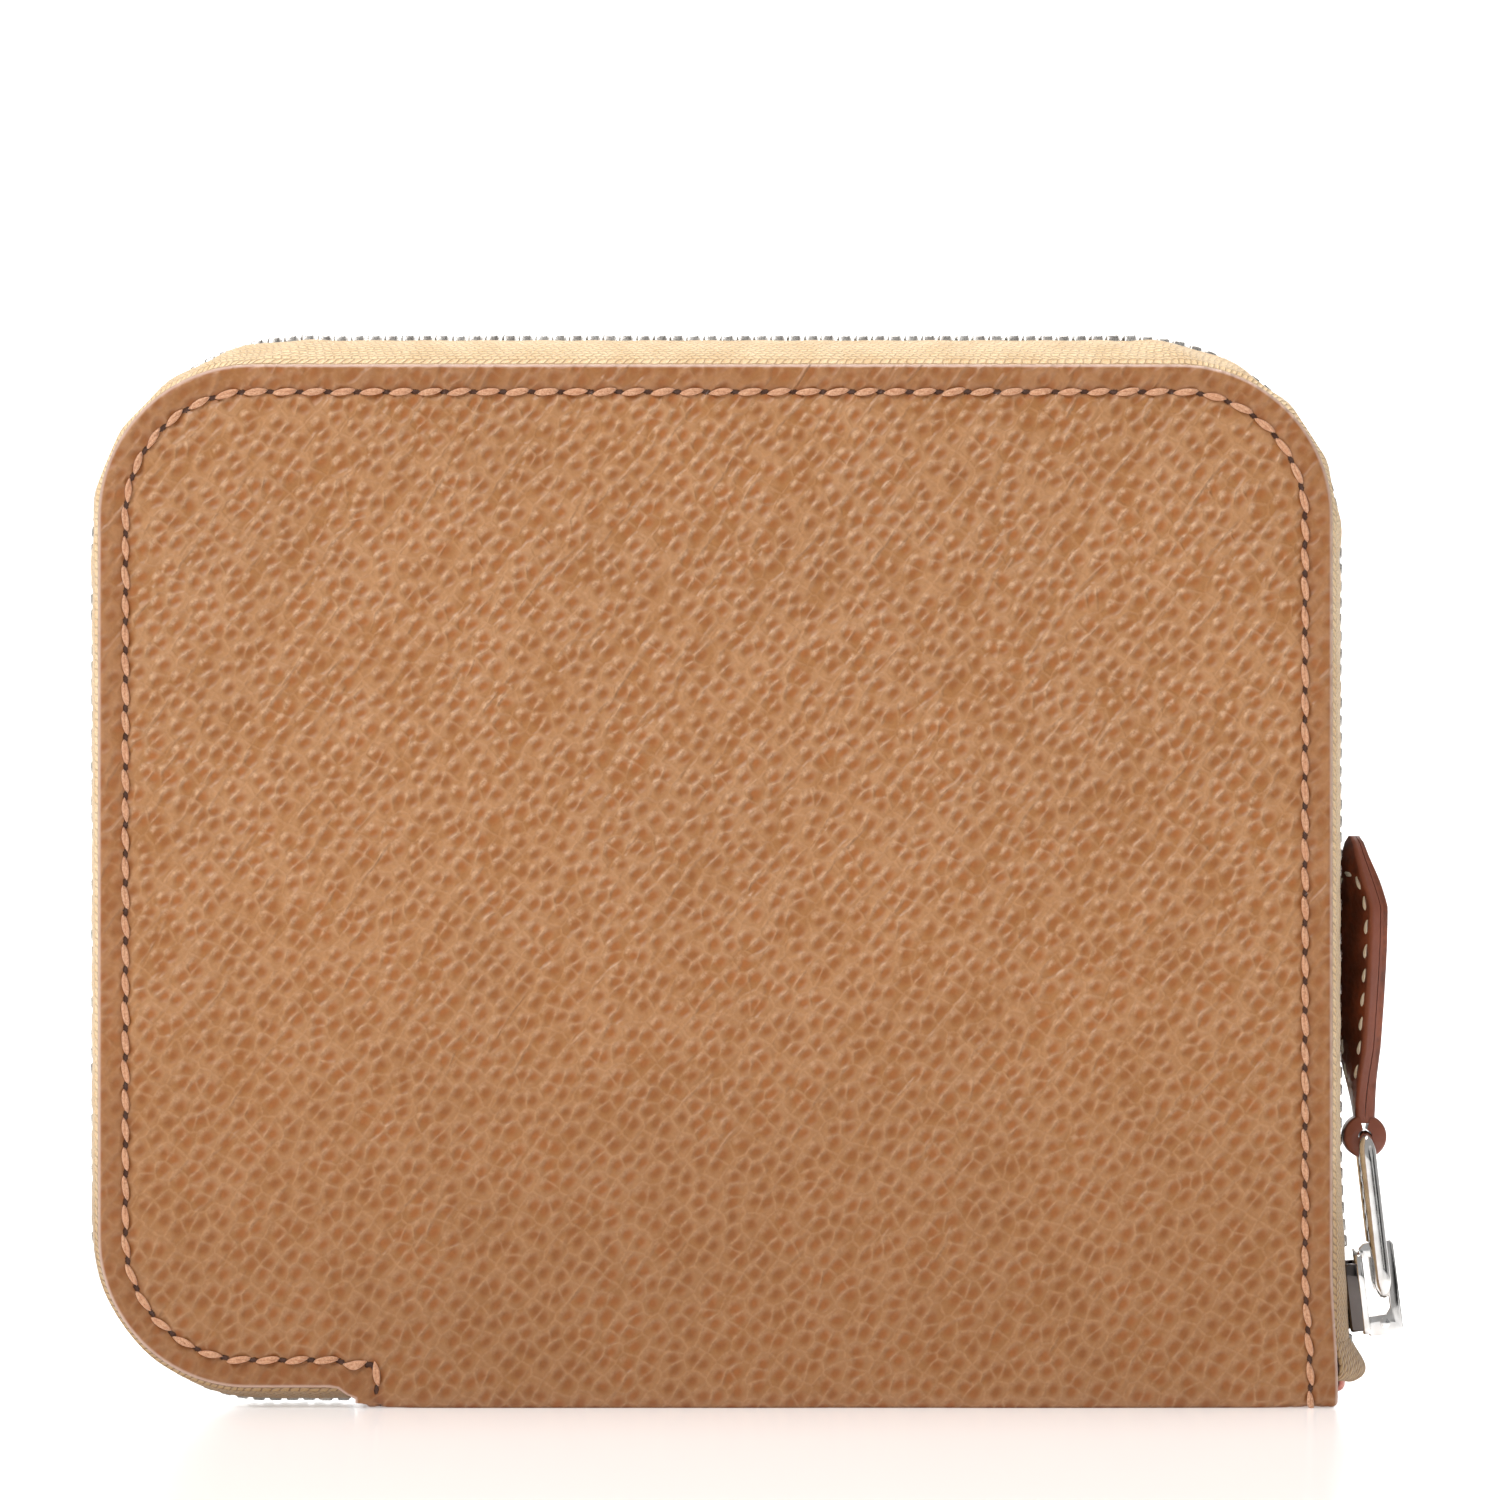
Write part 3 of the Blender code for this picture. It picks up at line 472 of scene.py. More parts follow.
def outer_leather(side, material):
    """One cover's hide with its fold and its half of the spine."""
    rings, lip, counts = leather_rings()
    size = len(rings[0][0])
    edge = free_edge()
    seam = seam_line()
    flat = np.vstack([ring for ring, lift in rings])
    columns = np.concatenate([np.linspace(GRID_LEFT, GRID_STEP, TAIL_COLUMNS + 1)[:-1],
                              np.linspace(GRID_STEP, GRID_RIGHT, SPINE_COLUMNS + 1)])
    rows = np.concatenate([np.linspace(GRID_LOW, GRID_MIDDLE, LOW_ROWS + 1)[:-1],
                           np.linspace(GRID_MIDDLE, GRID_HIGH, HIGH_ROWS + 1)])
    grid_x, grid_z = np.meshgrid(columns, rows)
    flat = np.vstack([flat, np.column_stack([grid_x.ravel(), grid_z.ravel()])])
    inner_columns = np.linspace(SPINE_LEFT + 4, HALF_WIDTH - 4, 90)
    inner_rows = np.linspace(SPINE_END, INNER_TOP, 44)
    inner_x, inner_z = np.meshgrid(inner_columns, inner_rows)
    outside = len(flat)
    flat = np.vstack([flat, np.column_stack([inner_x.ravel(), inner_z.ravel()])])
    from_edge = np.abs(polyline_place(flat, edge)[1])
    along, across = polyline_place(flat, seam)
    lift = relief(flat[:, 0], flat[:, 1], from_edge, across)
    for index, (ring, fixed) in enumerate(rings):
        if fixed is not None:
            lift[index * size:(index + 1) * size] = fixed
    lift[outside:] = -LEATHER - 0.02
    points = on_sheet(flat[:, 0], flat[:, 1], lift, side)
    flip = side == REAR
    joined = counts[0]
    faces = grid_faces(len(rings), size, wrap_columns=True, flip=flip,
                       skip=lambda ring, column: ring < lip and column < joined)
    faces += grid_faces(len(rows), len(columns), start=len(rings) * size, flip=flip,
                        skip=lambda row, column: row < LOW_ROWS and column < TAIL_COLUMNS)
    faces += grid_faces(len(inner_rows), len(inner_columns), start=outside, flip=flip)
    cover = make(WORD[side] + "_leather", points, faces, material)
    store(cover, "away", from_edge)
    shift = OTHER_HIDE if side == REAR else 0
    store(cover, "sheet", np.column_stack([flat[:, 0] + shift, flat[:, 1], np.zeros(len(flat))]))
    store(cover, "seam_u", along)
    store(cover, "seam_v", across)
    bm = bmesh.new()
    bm.from_mesh(cover.data)
    bmesh.ops.remove_doubles(bm, verts=bm.verts, dist=0.00001)
    bmesh.ops.delete(bm, geom=[vert for vert in bm.verts if not vert.link_faces], context="VERTS")
    bm.to_mesh(cover.data)
    bm.free()
    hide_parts(WORD[side] + "_cover_leather")
    if side == FRONT:
        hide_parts("spine_leather")
    bend(cover)
    return cover


def bend(thing):
    """Bake a piece's world placement into its mesh."""
    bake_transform(thing)


# Stitches -----------------------------------------------------------------------------------------

def twisted_stitch(length, width, ply, twist, steps=13, sides=8):
    """Two plies wound round each other, sinking at both ends: (along, across, lift) places and faces."""
    parts = []
    for turn in (0, pi):
        points = []
        for step in range(steps):
            share = 2 * step / (steps - 1) - 1
            rise = 0.34 * (1 - abs(share) ** 3.2) - 0.22
            full = sqrt(max(0.0, 1 - abs(share) ** 2.6)) * 0.82 + 0.18
            angle = turn + twist * share
            centre = (share * length / 2, width * 0.5 * cos(angle) * full, rise + width * 0.32 * sin(angle))
            for side in range(sides):
                around = 2 * pi * side / sides
                points.append((centre[0], centre[1] + ply * full * cos(around),
                               centre[2] + ply * full * 0.85 * sin(around)))
        faces = grid_faces(steps, sides, wrap_columns=True, flip=True)
        faces.append(list(range(sides)))
        faces.append(list(range((steps - 1) * sides, steps * sides))[::-1])
        parts.append((points, faces))
    return join_parts(parts)


def cover_stitches(side, material):
    """The saddle stitching round a cover, one plump twisted stitch after another."""
    line = seam_line(0.1)
    lengths = np.hypot(*np.diff(line, axis=0).T)
    run = np.concatenate([[0.0], np.cumsum(lengths)])
    rng = np.random.default_rng(11 + side)
    count = int(run[-1] / STITCH_PITCH)
    parts = []
    for index in range(count):
        middle = (index + 0.5) * STITCH_PITCH
        x = np.interp(middle, run, line[:, 0])
        z = np.interp(middle, run, line[:, 1])
        ahead, back = [np.array([np.interp(middle + reach, run, line[:, axis]) for axis in range(2)])
                       for reach in (0.5, -0.5)]
        heading = atan2(*(ahead - back)[::-1]) + radians(STITCH_LEAN + rng.normal(0, 2.0))
        length = STITCH_LENGTH + rng.normal(0, 0.05)
        width = STITCH_WIDTH + rng.normal(0, 0.012)
        points, faces = twisted_stitch(length, width, STITCH_PLY, 1.5 + rng.normal(0, 0.25))
        points = np.array(points)
        turned_x = x + points[:, 0] * cos(heading) - points[:, 1] * sin(heading)
        turned_z = z + points[:, 0] * sin(heading) + points[:, 1] * cos(heading)
        placed = on_sheet(turned_x, turned_z, points[:, 2] + 0.02, side)
        if side == REAR:
            faces = [face[::-1] for face in faces]
        parts.append((placed.tolist(), faces))
    points, faces = join_parts(parts)
    stitches = make(WORD[side] + "_stitches", points, faces, material)
    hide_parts(WORD[side] + "_seam_thread")
    bend(stitches)
    return stitches


# Materials: leather and thread ----------------------------------------------------------------------

GRAIN_SIZE = 1.52
GRAIN_SLANT = radians(-52)
GRAIN_RANDOMNESS = 0.62
PIT_DARK = srgb(152, 90, 36)
PIT_ORANGE = srgb(165, 97, 40)
MIDDLE_TONE = srgb(166, 111, 60)
# pale colour of the thin crests between pits, also used as a painted highlight along the folds
RIDGE_PALE_AND_FOLD_HIGHLIGHT = srgb(202, 154, 112)
# painted highlight colour for the lit upper-left rim of each pit
RIM_HIGHLIGHT_TONE = srgb(220, 178, 142)
MARGIN_TONE = srgb(144, 88, 44)


def grain(shade, sheet, size, slant, stretch):
    """Pitted grain: the raised ground (0 in each pit), the thin crests between pits, and pits' lit rims."""
    def pressed(vector):
        turned = shade.mapped(vector, turn=(0, 0, slant))
        return shade.mapped(turned, scale=(1 / stretch, 1, 1))

    def pits(vector):
        return shade.voronoi(vector, 1 / size, "SMOOTH_F1", Randomness=GRAIN_RANDOMNESS, Smoothness=0.22,
                             flat=True)

    warped = shade.warped(sheet, 0.9, 0.3)
    laid = pressed(warped)
    edges = shade.voronoi(laid, 1 / size, "DISTANCE_TO_EDGE", Randomness=GRAIN_RANDOMNESS, flat=True)
    ground = shade.ramp(pits(laid), 0.08, 0.50)
    crests = shade.ramp(edges, 0.0, 0.13, 1.0, 0.0)
    beside = pits(pressed(shade.mapped(warped, shift=(0.28 * size, -0.30 * size, 0))))
    rims = shade.times(shade.ramp(beside, 0.08, 0.36, 1.0, 0.0), ground)
    return ground, crests, rims


def camel_leather():
    """Grained camel leather, flatter outside the seam, with pricked holes between the stitches; painted
    highlights on pit rims, folds and the edge, and painted shade in the holes, the seam's groove and towards
    the spine.
    """
    shade = Shade("camel_leather_grain", roughness=0.5)
    rest = shade.stored("rest")
    sheet = shade.stored("sheet")
    away = shade.stored("away", "Fac")
    seam_u = shade.stored("seam_u", "Fac")
    seam_v = shade.stored("seam_v", "Fac")
    _, height_up, _ = shade.parts(sheet)
    ground, crests, rims = grain(shade, sheet, GRAIN_SIZE, GRAIN_SLANT, 1.3)
    fine = shade.noise(rest, 2.4, 4.0, 0.6)
    pores = shade.noise(rest, 7.0, 2.0, 0.6)
    broad = shade.noise(rest, 0.05, 3.0)
    patch = shade.noise(rest, 0.16, 2.0)
    inside = shade.ramp(away, 2.3, 4.8)
    upper = shade.ramp(height_up, 5.0, 75.0, 0.55, 1.0)
    relief_share = shade.times(shade.math("MULTIPLY_ADD", inside, 0.7, 0.3), upper)
    vary = shade.ramp(patch, 0.32, 0.68, 0.72, 1.0)
    grain_share = shade.times(relief_share, vary)
    turned = shade.mapped(sheet, turn=(0, 0, GRAIN_SLANT))
    pressed = shade.mapped(turned, scale=(0.15, 0.55, 1.0))
    wrinkle = shade.noise(pressed, 1.0, 1.0, 0.4, 0.5)
    folds = shade.ramp(shade.math("ABSOLUTE", shade.add(wrinkle, -0.5)), 0.0, 0.20, 1.0, 0.0)
    fold_share = shade.times(shade.times(folds, ground), shade.times(vary, upper))

    pit_tone = shade.mix(shade.ramp(patch, 0.3, 0.7), PIT_DARK, PIT_ORANGE)
    colour = shade.mix(ground, pit_tone, MIDDLE_TONE)
    # Painted highlight on each pit's upper-left rim, stronger towards the top of the cover.
    glint = shade.times(rims, shade.ramp(fine, 0.3, 0.65, 0.3, 1.0))
    glint = shade.times(glint, shade.ramp(height_up, 5.0, 70.0, 0.45, 1.15))
    glint = shade.times(glint, shade.math("MULTIPLY_ADD", grain_share, 0.62, 0.14))
    colour = shade.mix(glint, colour, RIM_HIGHLIGHT_TONE)
    net = shade.times(crests, shade.ramp(height_up, 10.0, 80.0, 0.30, 0.16))
    colour = shade.mix(shade.times(net, shade.ramp(fine, 0.25, 0.6, 0.4, 1.0)), colour, RIDGE_PALE_AND_FOLD_HIGHLIGHT)
    # Painted highlight along the slanted folds, stronger towards the top.
    colour = shade.mix(shade.times(fold_share, 0.5), colour, RIDGE_PALE_AND_FOLD_HIGHLIGHT)
    colour = shade.mix(shade.ramp(away, 2.2, 3.6, 0.38, 0.0), colour, MARGIN_TONE)
    # Painted shade: the leather is made darker towards the bottom of the cover and the spine.
    cloud = shade.ramp(broad, 0.35, 0.65, 0.975, 1.02)
    colour = shade.tinted(colour, shade.times(cloud, shade.ramp(height_up, -4.0, 52.0, 0.85, 1.0)))
    colour = shade.tinted(colour, shade.ramp(fine, 0.3, 0.75, 0.93, 1.06))

    beat = shade.math("FRACT", shade.math("DIVIDE", seam_u, STITCH_PITCH))
    from_middle = shade.math("ABSOLUTE", shade.add(beat, -0.5))
    from_hole = shade.times(shade.math("SUBTRACT", 0.5, from_middle), STITCH_PITCH)
    ragged = shade.times(shade.add(pores, -0.5), 0.35)
    long_way = shade.math("POWER", shade.math("DIVIDE", from_hole, 0.50), 2.0)
    short_way = shade.math("POWER", shade.math("DIVIDE", shade.add(seam_v, ragged), 0.24), 2.0)
    hole = shade.ramp(shade.add(long_way, short_way), 0.45, 1.25, 1.0, 0.0)
    # Painted shade in the sewn groove along the seam.
    groove = shade.ramp(shade.math("ABSOLUTE", seam_v), 0.12, 0.6, 1.0, 0.0)
    colour = shade.mix(shade.times(groove, 0.3), colour, srgb(140, 80, 40))
    # Painted shade inside the pricked holes, which the bump also sinks.
    colour = shade.mix(shade.times(hole, 0.94), colour, srgb(62, 28, 10))
    # Pale edge paint, lightened into a painted highlight along the rounded edge.
    edge_paint_and_highlight = shade.ramp(away, 0.14, 0.36, 1.0, 0.0)
    colour = shade.mix(shade.times(edge_paint_and_highlight, 0.75), colour, srgb(206, 174, 158))

    height = shade.times(ground, shade.math("MULTIPLY_ADD", grain_share, 0.26, 0.06))
    height = shade.math("MULTIPLY_ADD", shade.times(crests, grain_share), 0.16, height)
    height = shade.math("MULTIPLY_ADD", fine, 0.10, height)
    height = shade.math("MULTIPLY_ADD", pores, 0.05, height)
    height = shade.math("MULTIPLY_ADD", fold_share, 0.6, height)
    height = shade.math("MULTIPLY_ADD", hole, -1.2, height)
    normal = shade.bump(height, 0.27, 1.0)
    worn = shade.add(shade.times(ground, 0.5), shade.times(fine, 0.5))
    roughness = shade.ramp(worn, 0.2, 0.9, 0.54, 0.38)
    return shade.finish(colour, roughness, normal)


def seam_thread():
    """Salmon thread with fine fibres."""
    shade = Shade("seam_thread_twist", roughness=0.62, Sheen_Weight=0.25)
    rest = shade.stored("rest")
    fibre = shade.noise(rest, 4.5, 4.0, 0.65)
    tone = shade.noise(rest, 0.35, 1.0)
    colour = shade.mix(shade.ramp(fibre, 0.3, 0.75), srgb(188, 128, 90), srgb(226, 180, 144))
    colour = shade.mix(shade.ramp(tone, 0.35, 0.7, 0.0, 0.3), colour, srgb(214, 150, 110))
    return shade.finish(colour, None, shade.bump(fibre, 0.06, 0.6))


# Studio -------------------------------------------------------------------------------------------

def plain(name, colour, roughness):
    """An even pale finish that glows a little, like a lit paper sweep."""
    shade = Shade(name, roughness=roughness, Specular_IOR_Level=0.35, Emission_Strength=0.32)
    shade.shader.inputs["Emission Color"].default_value = (1, 1, 1, 1)
    rest = shade.stored("rest")
    cloud = shade.noise(rest, 0.004, 2.0)
    return shade.finish(shade.mix(cloud, colour, tuple(value * 0.99 for value in colour)))


LAMPS = (("key", (-420, -500, 720), 420, 4.5), ("fill", (520, -620, 260), 500, 0.3),
         ("top", (0, 40, 760), 520, 3.0), ("back", (0, 1000, 900), 1200, 11.0))
LENS = 250
CAMERA_PLACE = (3.4, -11 - 1020.8, 64.5)


def sweep():
    """A pale sheet under the wallet that curves up behind it."""
    points = []
    rows = [(-1800, 0), (-600, 0), (0, 0), (500, 0), (900, 0)]
    rows += [(900 + 500 * sin(radians(a)), 500 - 500 * cos(radians(a))) for a in range(10, 91, 10)]
    rows += [(1400, 1200), (1400, 2600)]
    for y, z in rows:
        points += [(-2600, y, z - 0.02), (2600, y, z - 0.02)]
    floor = make("floor", points, grid_faces(len(rows), 2), plain("pale_floor", (0.93, 0.93, 0.93), 0.16))


def sky():
    """A soft white surround with a dark patch that the metal reflects."""
    world = bpy.data.worlds.new("studio")
    world.use_nodes = True
    back = world.node_tree.nodes["Background"]
    tree = world.node_tree
    place = tree.nodes.new("ShaderNodeTexCoord")
    facing = tree.nodes.new("ShaderNodeVectorMath")
    facing.operation = "DOT_PRODUCT"
    facing.inputs[1].default_value = (0.62, -0.78, -0.02)
    shade_off = tree.nodes.new("ShaderNodeMapRange")
    shade_off.interpolation_type = "SMOOTHSTEP"
    for key, value in (("From Min", 0.80), ("From Max", 0.93), ("To Min", 1.0), ("To Max", 0.04)):
        shade_off.inputs[key].default_value = value
    tree.links.new(place.outputs["Generated"], facing.inputs[0])
    tree.links.new(facing.outputs["Value"], shade_off.inputs["Value"])
    tree.links.new(shade_off.outputs[0], back.inputs["Color"])
    back.inputs["Strength"].default_value = 0.40
    bpy.context.scene.world = world


def lamps():
    """A soft key from the upper left, a weak fill, one lamp above and one that lights the sweep."""
    for name, place, size, power in LAMPS:
        light = bpy.data.lights.new(name, "AREA")
        light.shape = "DISK"
        light.size = size * MM
        light.energy = power
        lamp = bpy.data.objects.new(name, light)
        lamp.location = Vector(place) * MM
        target = Vector((0, 1400, 300)) if name == "back" else Vector((0, 0, 50))
        aim = target * MM - lamp.location
        lamp.rotation_euler = aim.to_track_quat("-Z", "Y").to_euler()
        bpy.context.scene.collection.objects.link(lamp)


def camera_square_on():
    """A long lens square on to the front cover."""
    lens = bpy.data.cameras.new("camera")
    lens.sensor_width = 36
    lens.lens = LENS
    lens.clip_end = 20
    camera = bpy.data.objects.new("camera", lens)
    camera.location = Vector(CAMERA_PLACE) * MM
    camera.rotation_euler = (radians(90), 0, 0)
    bpy.context.scene.collection.objects.link(camera)
    bpy.context.scene.camera = camera
    bpy.context.scene.view_settings.view_transform = "Standard"


# Zip ------------------------------------------------------------------------------------------------

TOOTH_PITCH = 1.66
FIRST_TOOTH = 9.4                  # along the chain from the closed end, past the slider's foot
CHAIN_TOP_RADIUS = 21.0
CHAIN_TAIL_RADIUS = 17.6
ZIP_START = 5.6
ZIP_END = -36.0
ROUTE_COUNTS = (150, 44, 150, 44, 120, 34, 24)


def route(right, top, left, low, top_radius, tail_radius):
    """Stops from the closed end up the right side, over the top, down the left and along the tail."""
    counts = ROUTE_COUNTS
    corner = (right - top_radius, top - top_radius)
    other = (left + top_radius, top - top_radius)
    tail = (left + tail_radius, low + tail_radius)
    stretches = [
        np.linspace((right, ZIP_START), (right, corner[1]), counts[0])[:-1],
        arc_points(corner, top_radius, 0, 90, counts[1])[:-1],
        np.linspace((corner[0], top), (other[0], top), counts[2])[:-1],
        arc_points(other, top_radius, 90, 180, counts[3])[:-1],
        np.linspace((left, other[1]), (left, tail[1]), counts[4])[:-1],
        arc_points(tail, tail_radius, 180, 270, counts[5])[:-1],
        np.linspace((tail[0], low), (ZIP_END, low), counts[6]),
    ]
    return np.vstack(stretches)


def headings(line):
    """Unit steps along a line and the directions out of the wallet, at each stop."""
    step = np.gradient(line, axis=0)
    step /= np.hypot(step[:, 0], step[:, 1])[:, None]
    return step, np.column_stack([step[:, 1], -step[:, 0]])


def chain_bulge(line):
    """The chain's line, leaning out towards the slider at the lower right."""
    line = line.copy()
    low = smooth((26 - line[:, 1]) / 22) * (line[:, 0] > 40)
    line[:, 0] += 1.1 * low
    return line


LEATHER_LINE = route(HALF_WIDTH, COVER_TOP, -HALF_WIDTH, TAIL, TOP_RADIUS, TAIL_RADIUS)
LEATHER_OUT = headings(LEATHER_LINE)[1]
CHAIN_LINE = chain_bulge(route(CHAIN_HIGH[0], CHAIN_HIGH[2], CHAIN_LOW[0], CHAIN_LOW[2],
                               CHAIN_TOP_RADIUS, CHAIN_TAIL_RADIUS))
CHAIN_STEP, CHAIN_OUT = headings(CHAIN_LINE)
CHAIN_RUN = np.concatenate([[0.0], np.cumsum(np.hypot(*np.diff(CHAIN_LINE, axis=0).T))])

# Across the tape from the sewn margin to the cord: inset behind the leather or share of the way out, and y.
TAPE_MARGIN_PATH = ((4.3, 9.2), (3.0, 9.22), (1.8, 9.2), (0.9, 9.1), (0.3, 8.9))
TAPE_PATH = ((0.10, 8.45), (0.24, 7.8), (0.38, 7.0), (0.51, 6.2), (0.61, 5.4), (0.68, 4.6), (0.735, 3.9),
             (0.77, 3.3), (0.79, 2.85), (0.80, 2.6))
TAPE_THICKNESS = 0.42
CORD_RADIUS = 0.43


def tape_pucker(rng, count):
    """Small even ripples that grow where the tape is gathered round the corners."""
    turning = np.zeros(count)
    first = ROUTE_COUNTS[0]
    turning[first - 6:first + ROUTE_COUNTS[1] + 4] = 1
    second = first + ROUTE_COUNTS[1] + ROUTE_COUNTS[2]
    turning[second - 8:second + ROUTE_COUNTS[3] + 4] = 1
    kernel = np.hanning(15)
    turning = np.convolve(turning, kernel / kernel.sum(), "same")
    phase = np.cumsum(rng.uniform(0.75, 1.25, count)) * 0.62
    return (0.05 + 0.16 * turning) * np.sin(phase)


def zip_tape(side, material):
    """A cotton tape that bulges past the leather to the chain, with its cord and its weave's coordinates."""
    count = len(LEATHER_LINE)
    rng = np.random.default_rng(5 + side)
    ripple = tape_pucker(rng, count)
    outer = []
    for inset, y in TAPE_MARGIN_PATH:
        place = LEATHER_LINE - LEATHER_OUT * inset
        outer.append(np.column_stack([place[:, 0], np.full(count, side * y), place[:, 1]]))
    for share, y in TAPE_PATH:
        place = LEATHER_LINE * (1 - share) + CHAIN_LINE * share
        place = place - CHAIN_OUT * 0.28 * share + CHAIN_OUT * (ripple * sin(pi * share))[:, None]
        outer.append(np.column_stack([place[:, 0], np.full(count, side * y), place[:, 1]]))
    outer = np.array(outer)
    across = np.gradient(outer, axis=0)
    along = np.gradient(outer, axis=1)
    normal = np.cross(across, along) * side
    normal /= np.linalg.norm(normal, axis=2)[..., None]
    inner = (outer - normal * TAPE_THICKNESS)[::-1]
    ring = np.concatenate([outer, inner])
    size = len(ring)
    width = np.concatenate([[0], np.cumsum(np.linalg.norm(np.diff(outer[:, 200], axis=0), axis=1))])
    width = np.concatenate([width, width[::-1]])
    points = ring.transpose(1, 0, 2).reshape(-1, 3)
    faces = grid_faces(count, size, wrap_columns=True, flip=side == REAR)
    first = list(range(size))
    last = [(count - 1) * size + index for index in first]
    faces.append(first[::-1] if side == FRONT else first)
    faces.append(last if side == FRONT else last[::-1])
    cloth_u = np.repeat(CHAIN_RUN, size)
    cloth_v = np.tile(width, count)
    cord = sweep_cord(side)
    points, faces = join_parts([(points.tolist(), faces), cord])
    tape = make(WORD[side] + "_tape", points, faces, material, sharp=60)
    sides = len(cord[0]) // count
    store(tape, "cloth_u", np.concatenate([cloth_u, np.repeat(CHAIN_RUN, sides)]))
    store(tape, "cloth_v", np.concatenate([cloth_v, np.tile(20 + np.arange(sides) * 0.35, count)]))
    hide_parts(WORD[side] + "_zip_tape")
    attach(tape, COVER_BODY[side])
    return tape


def sweep_cord(side, sides=10):
    """The thick woven cord along the tape's free edge, which the teeth grip."""
    centre = CHAIN_LINE - CHAIN_OUT * 0.92
    points = []
    for stop in range(len(centre)):
        for index in range(sides):
            angle = 2 * pi * index / sides
            out = CORD_RADIUS * cos(angle)
            points.append((centre[stop, 0] + CHAIN_OUT[stop, 0] * out,
                           side * (2.75 + CORD_RADIUS * 1.25 * sin(angle)),
                           centre[stop, 1] + CHAIN_OUT[stop, 1] * out))
    return points, grid_faces(len(centre), sides, wrap_columns=True, flip=side == FRONT)


def mesh_of(bm):
    """A bmesh's points and faces; the bmesh is freed."""
    bm.verts.index_update()
    points = [vert.co[:] for vert in bm.verts]
    faces = [[vert.index for vert in face.verts] for face in bm.faces]
    bm.free()
    return points, faces


def rounded_prism(low, high, bevel, segments, sharpest):
    """A solid between two matching rings, its edges sharper than an angle rounded: points and faces."""
    bm = bmesh.new()
    bottom = [bm.verts.new(point) for point in low]
    top = [bm.verts.new(point) for point in high]
    bm.faces.new(bottom)
    bm.faces.new(top[::-1])
    for index in range(len(bottom)):
        after = (index + 1) % len(bottom)
        bm.faces.new((bottom[index], top[index], top[after], bottom[after]))
    bmesh.ops.recalc_face_normals(bm, faces=bm.faces)
    rim = [edge for edge in bm.edges if edge.calc_face_angle(0) > radians(sharpest)]
    bmesh.ops.bevel(bm, geom=rim, offset=bevel, segments=segments, profile=0.5, affect="EDGES",
                    clamp_overlap=True)
    return mesh_of(bm)


def tooth_template():
    """One zip tooth round its foot: jaws that grip the cord and a rounded head."""
    outline = [(-2.55, 0.62), (-2.55, -0.05), (-1.2, -0.10), (-0.35, 0.12), (0.35, 0.16), (0.72, 0.42),
               (0.72, 0.98), (0.35, 1.25), (-0.35, 1.30), (-1.2, 1.52), (-2.25, 1.50)]
    half_width = (0.55, 0.55, 0.60, 0.58, 0.45, 0.34, 0.34, 0.45, 0.60, 0.62, 0.58)
    low = [(-half, y, out) for (y, out), half in zip(outline, half_width)]
    high = [(half, y, out) for (y, out), half in zip(outline, half_width)]
    points, faces = rounded_prism(low, high, 0.19, 3, 25)
    return np.array(points), faces


def at_run(run):
    """Place, heading and outward direction on the chain's line after a length."""
    values = [np.interp(run, CHAIN_RUN, values) for values in
              (CHAIN_LINE[:, 0], CHAIN_LINE[:, 1], CHAIN_STEP[:, 0], CHAIN_STEP[:, 1])]
    heading = np.array(values[2:]) / hypot(*values[2:])
    return np.array(values[:2]), heading, np.array([heading[1], -heading[0]])


def zip_teeth(side, material):
    """One side's row of teeth, set half a pitch off the other side's."""
    template, template_faces = tooth_template()
    rng = np.random.default_rng(21 + side)
    shift = TOOTH_PITCH * (0.6 if side == FRONT else 1.1)
    parts = []
    run = FIRST_TOOTH + shift
    while run < CHAIN_RUN[-1] - 0.8:
        place, heading, out = at_run(run)
        tilt = rng.normal(0, 0.02)
        along = template[:, 0] + template[:, 1] * tilt
        outward = template[:, 2] - 1.36 + rng.normal(0, 0.02)
        points = np.column_stack([place[0] + heading[0] * along + out[0] * outward,
                                  -side * template[:, 1] * 0.94,
                                  place[1] + heading[1] * along + out[1] * outward])
        faces = template_faces if side == REAR else [face[::-1] for face in template_faces]
        parts.append((points.tolist(), faces))
        run += TOOTH_PITCH
    points, faces = join_parts(parts)
    teeth = make(WORD[side] + "_teeth", points, faces, material, sharp=40)
    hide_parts(WORD[side] + "_zip_teeth")
    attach(teeth, COVER_BODY[side])
    return teeth


def bevelled_outline(outline, low, high, bevel, along="X", segments=3):
    """An outline pushed along an axis, with its sharp edges rounded: points and faces."""
    def lift(a, b, level):
        return {"X": (level, a, b), "Y": (a, level, b), "Z": (a, b, level)}[along]

    bottom = [lift(a, b, low) for a, b in outline]
    top = [lift(a, b, high) for a, b in outline]
    return rounded_prism(bottom, top, bevel, segments, 35)


def end_stop(side, word, run, material):
    """A flat crimped metal stop that bridges a tape's cord."""
    place, heading, out = at_run(run)
    outline = [(-0.62, 1.75), (0.62, 1.75), (0.62, 3.15), (0.35, 3.3), (-0.35, 3.3), (-0.62, 3.15)]
    flat, faces = bevelled_outline(outline, -1.45, 0.02, 0.16, "Z")
    flat = np.array(flat)
    points = np.column_stack([place[0] + heading[0] * flat[:, 0] + out[0] * flat[:, 2], side * flat[:, 1],
                              place[1] + heading[1] * flat[:, 0] + out[1] * flat[:, 2]])
    stop = make(WORD[side] + "_" + word + "_stop", points, oriented(points, faces), material, sharp=35)
    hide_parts(WORD[side] + "_" + word + "_end_stop")
    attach(stop, COVER_BODY[side])
    return stop


def oriented(points, faces):
    """The faces of a closed part, all turned outwards."""
    bm = bmesh.new()
    verts = [bm.verts.new(point) for point in points]
    for face in faces:
        bm.faces.new([verts[index] for index in face])
    bmesh.ops.recalc_face_normals(bm, faces=bm.faces)
    return mesh_of(bm)[1]


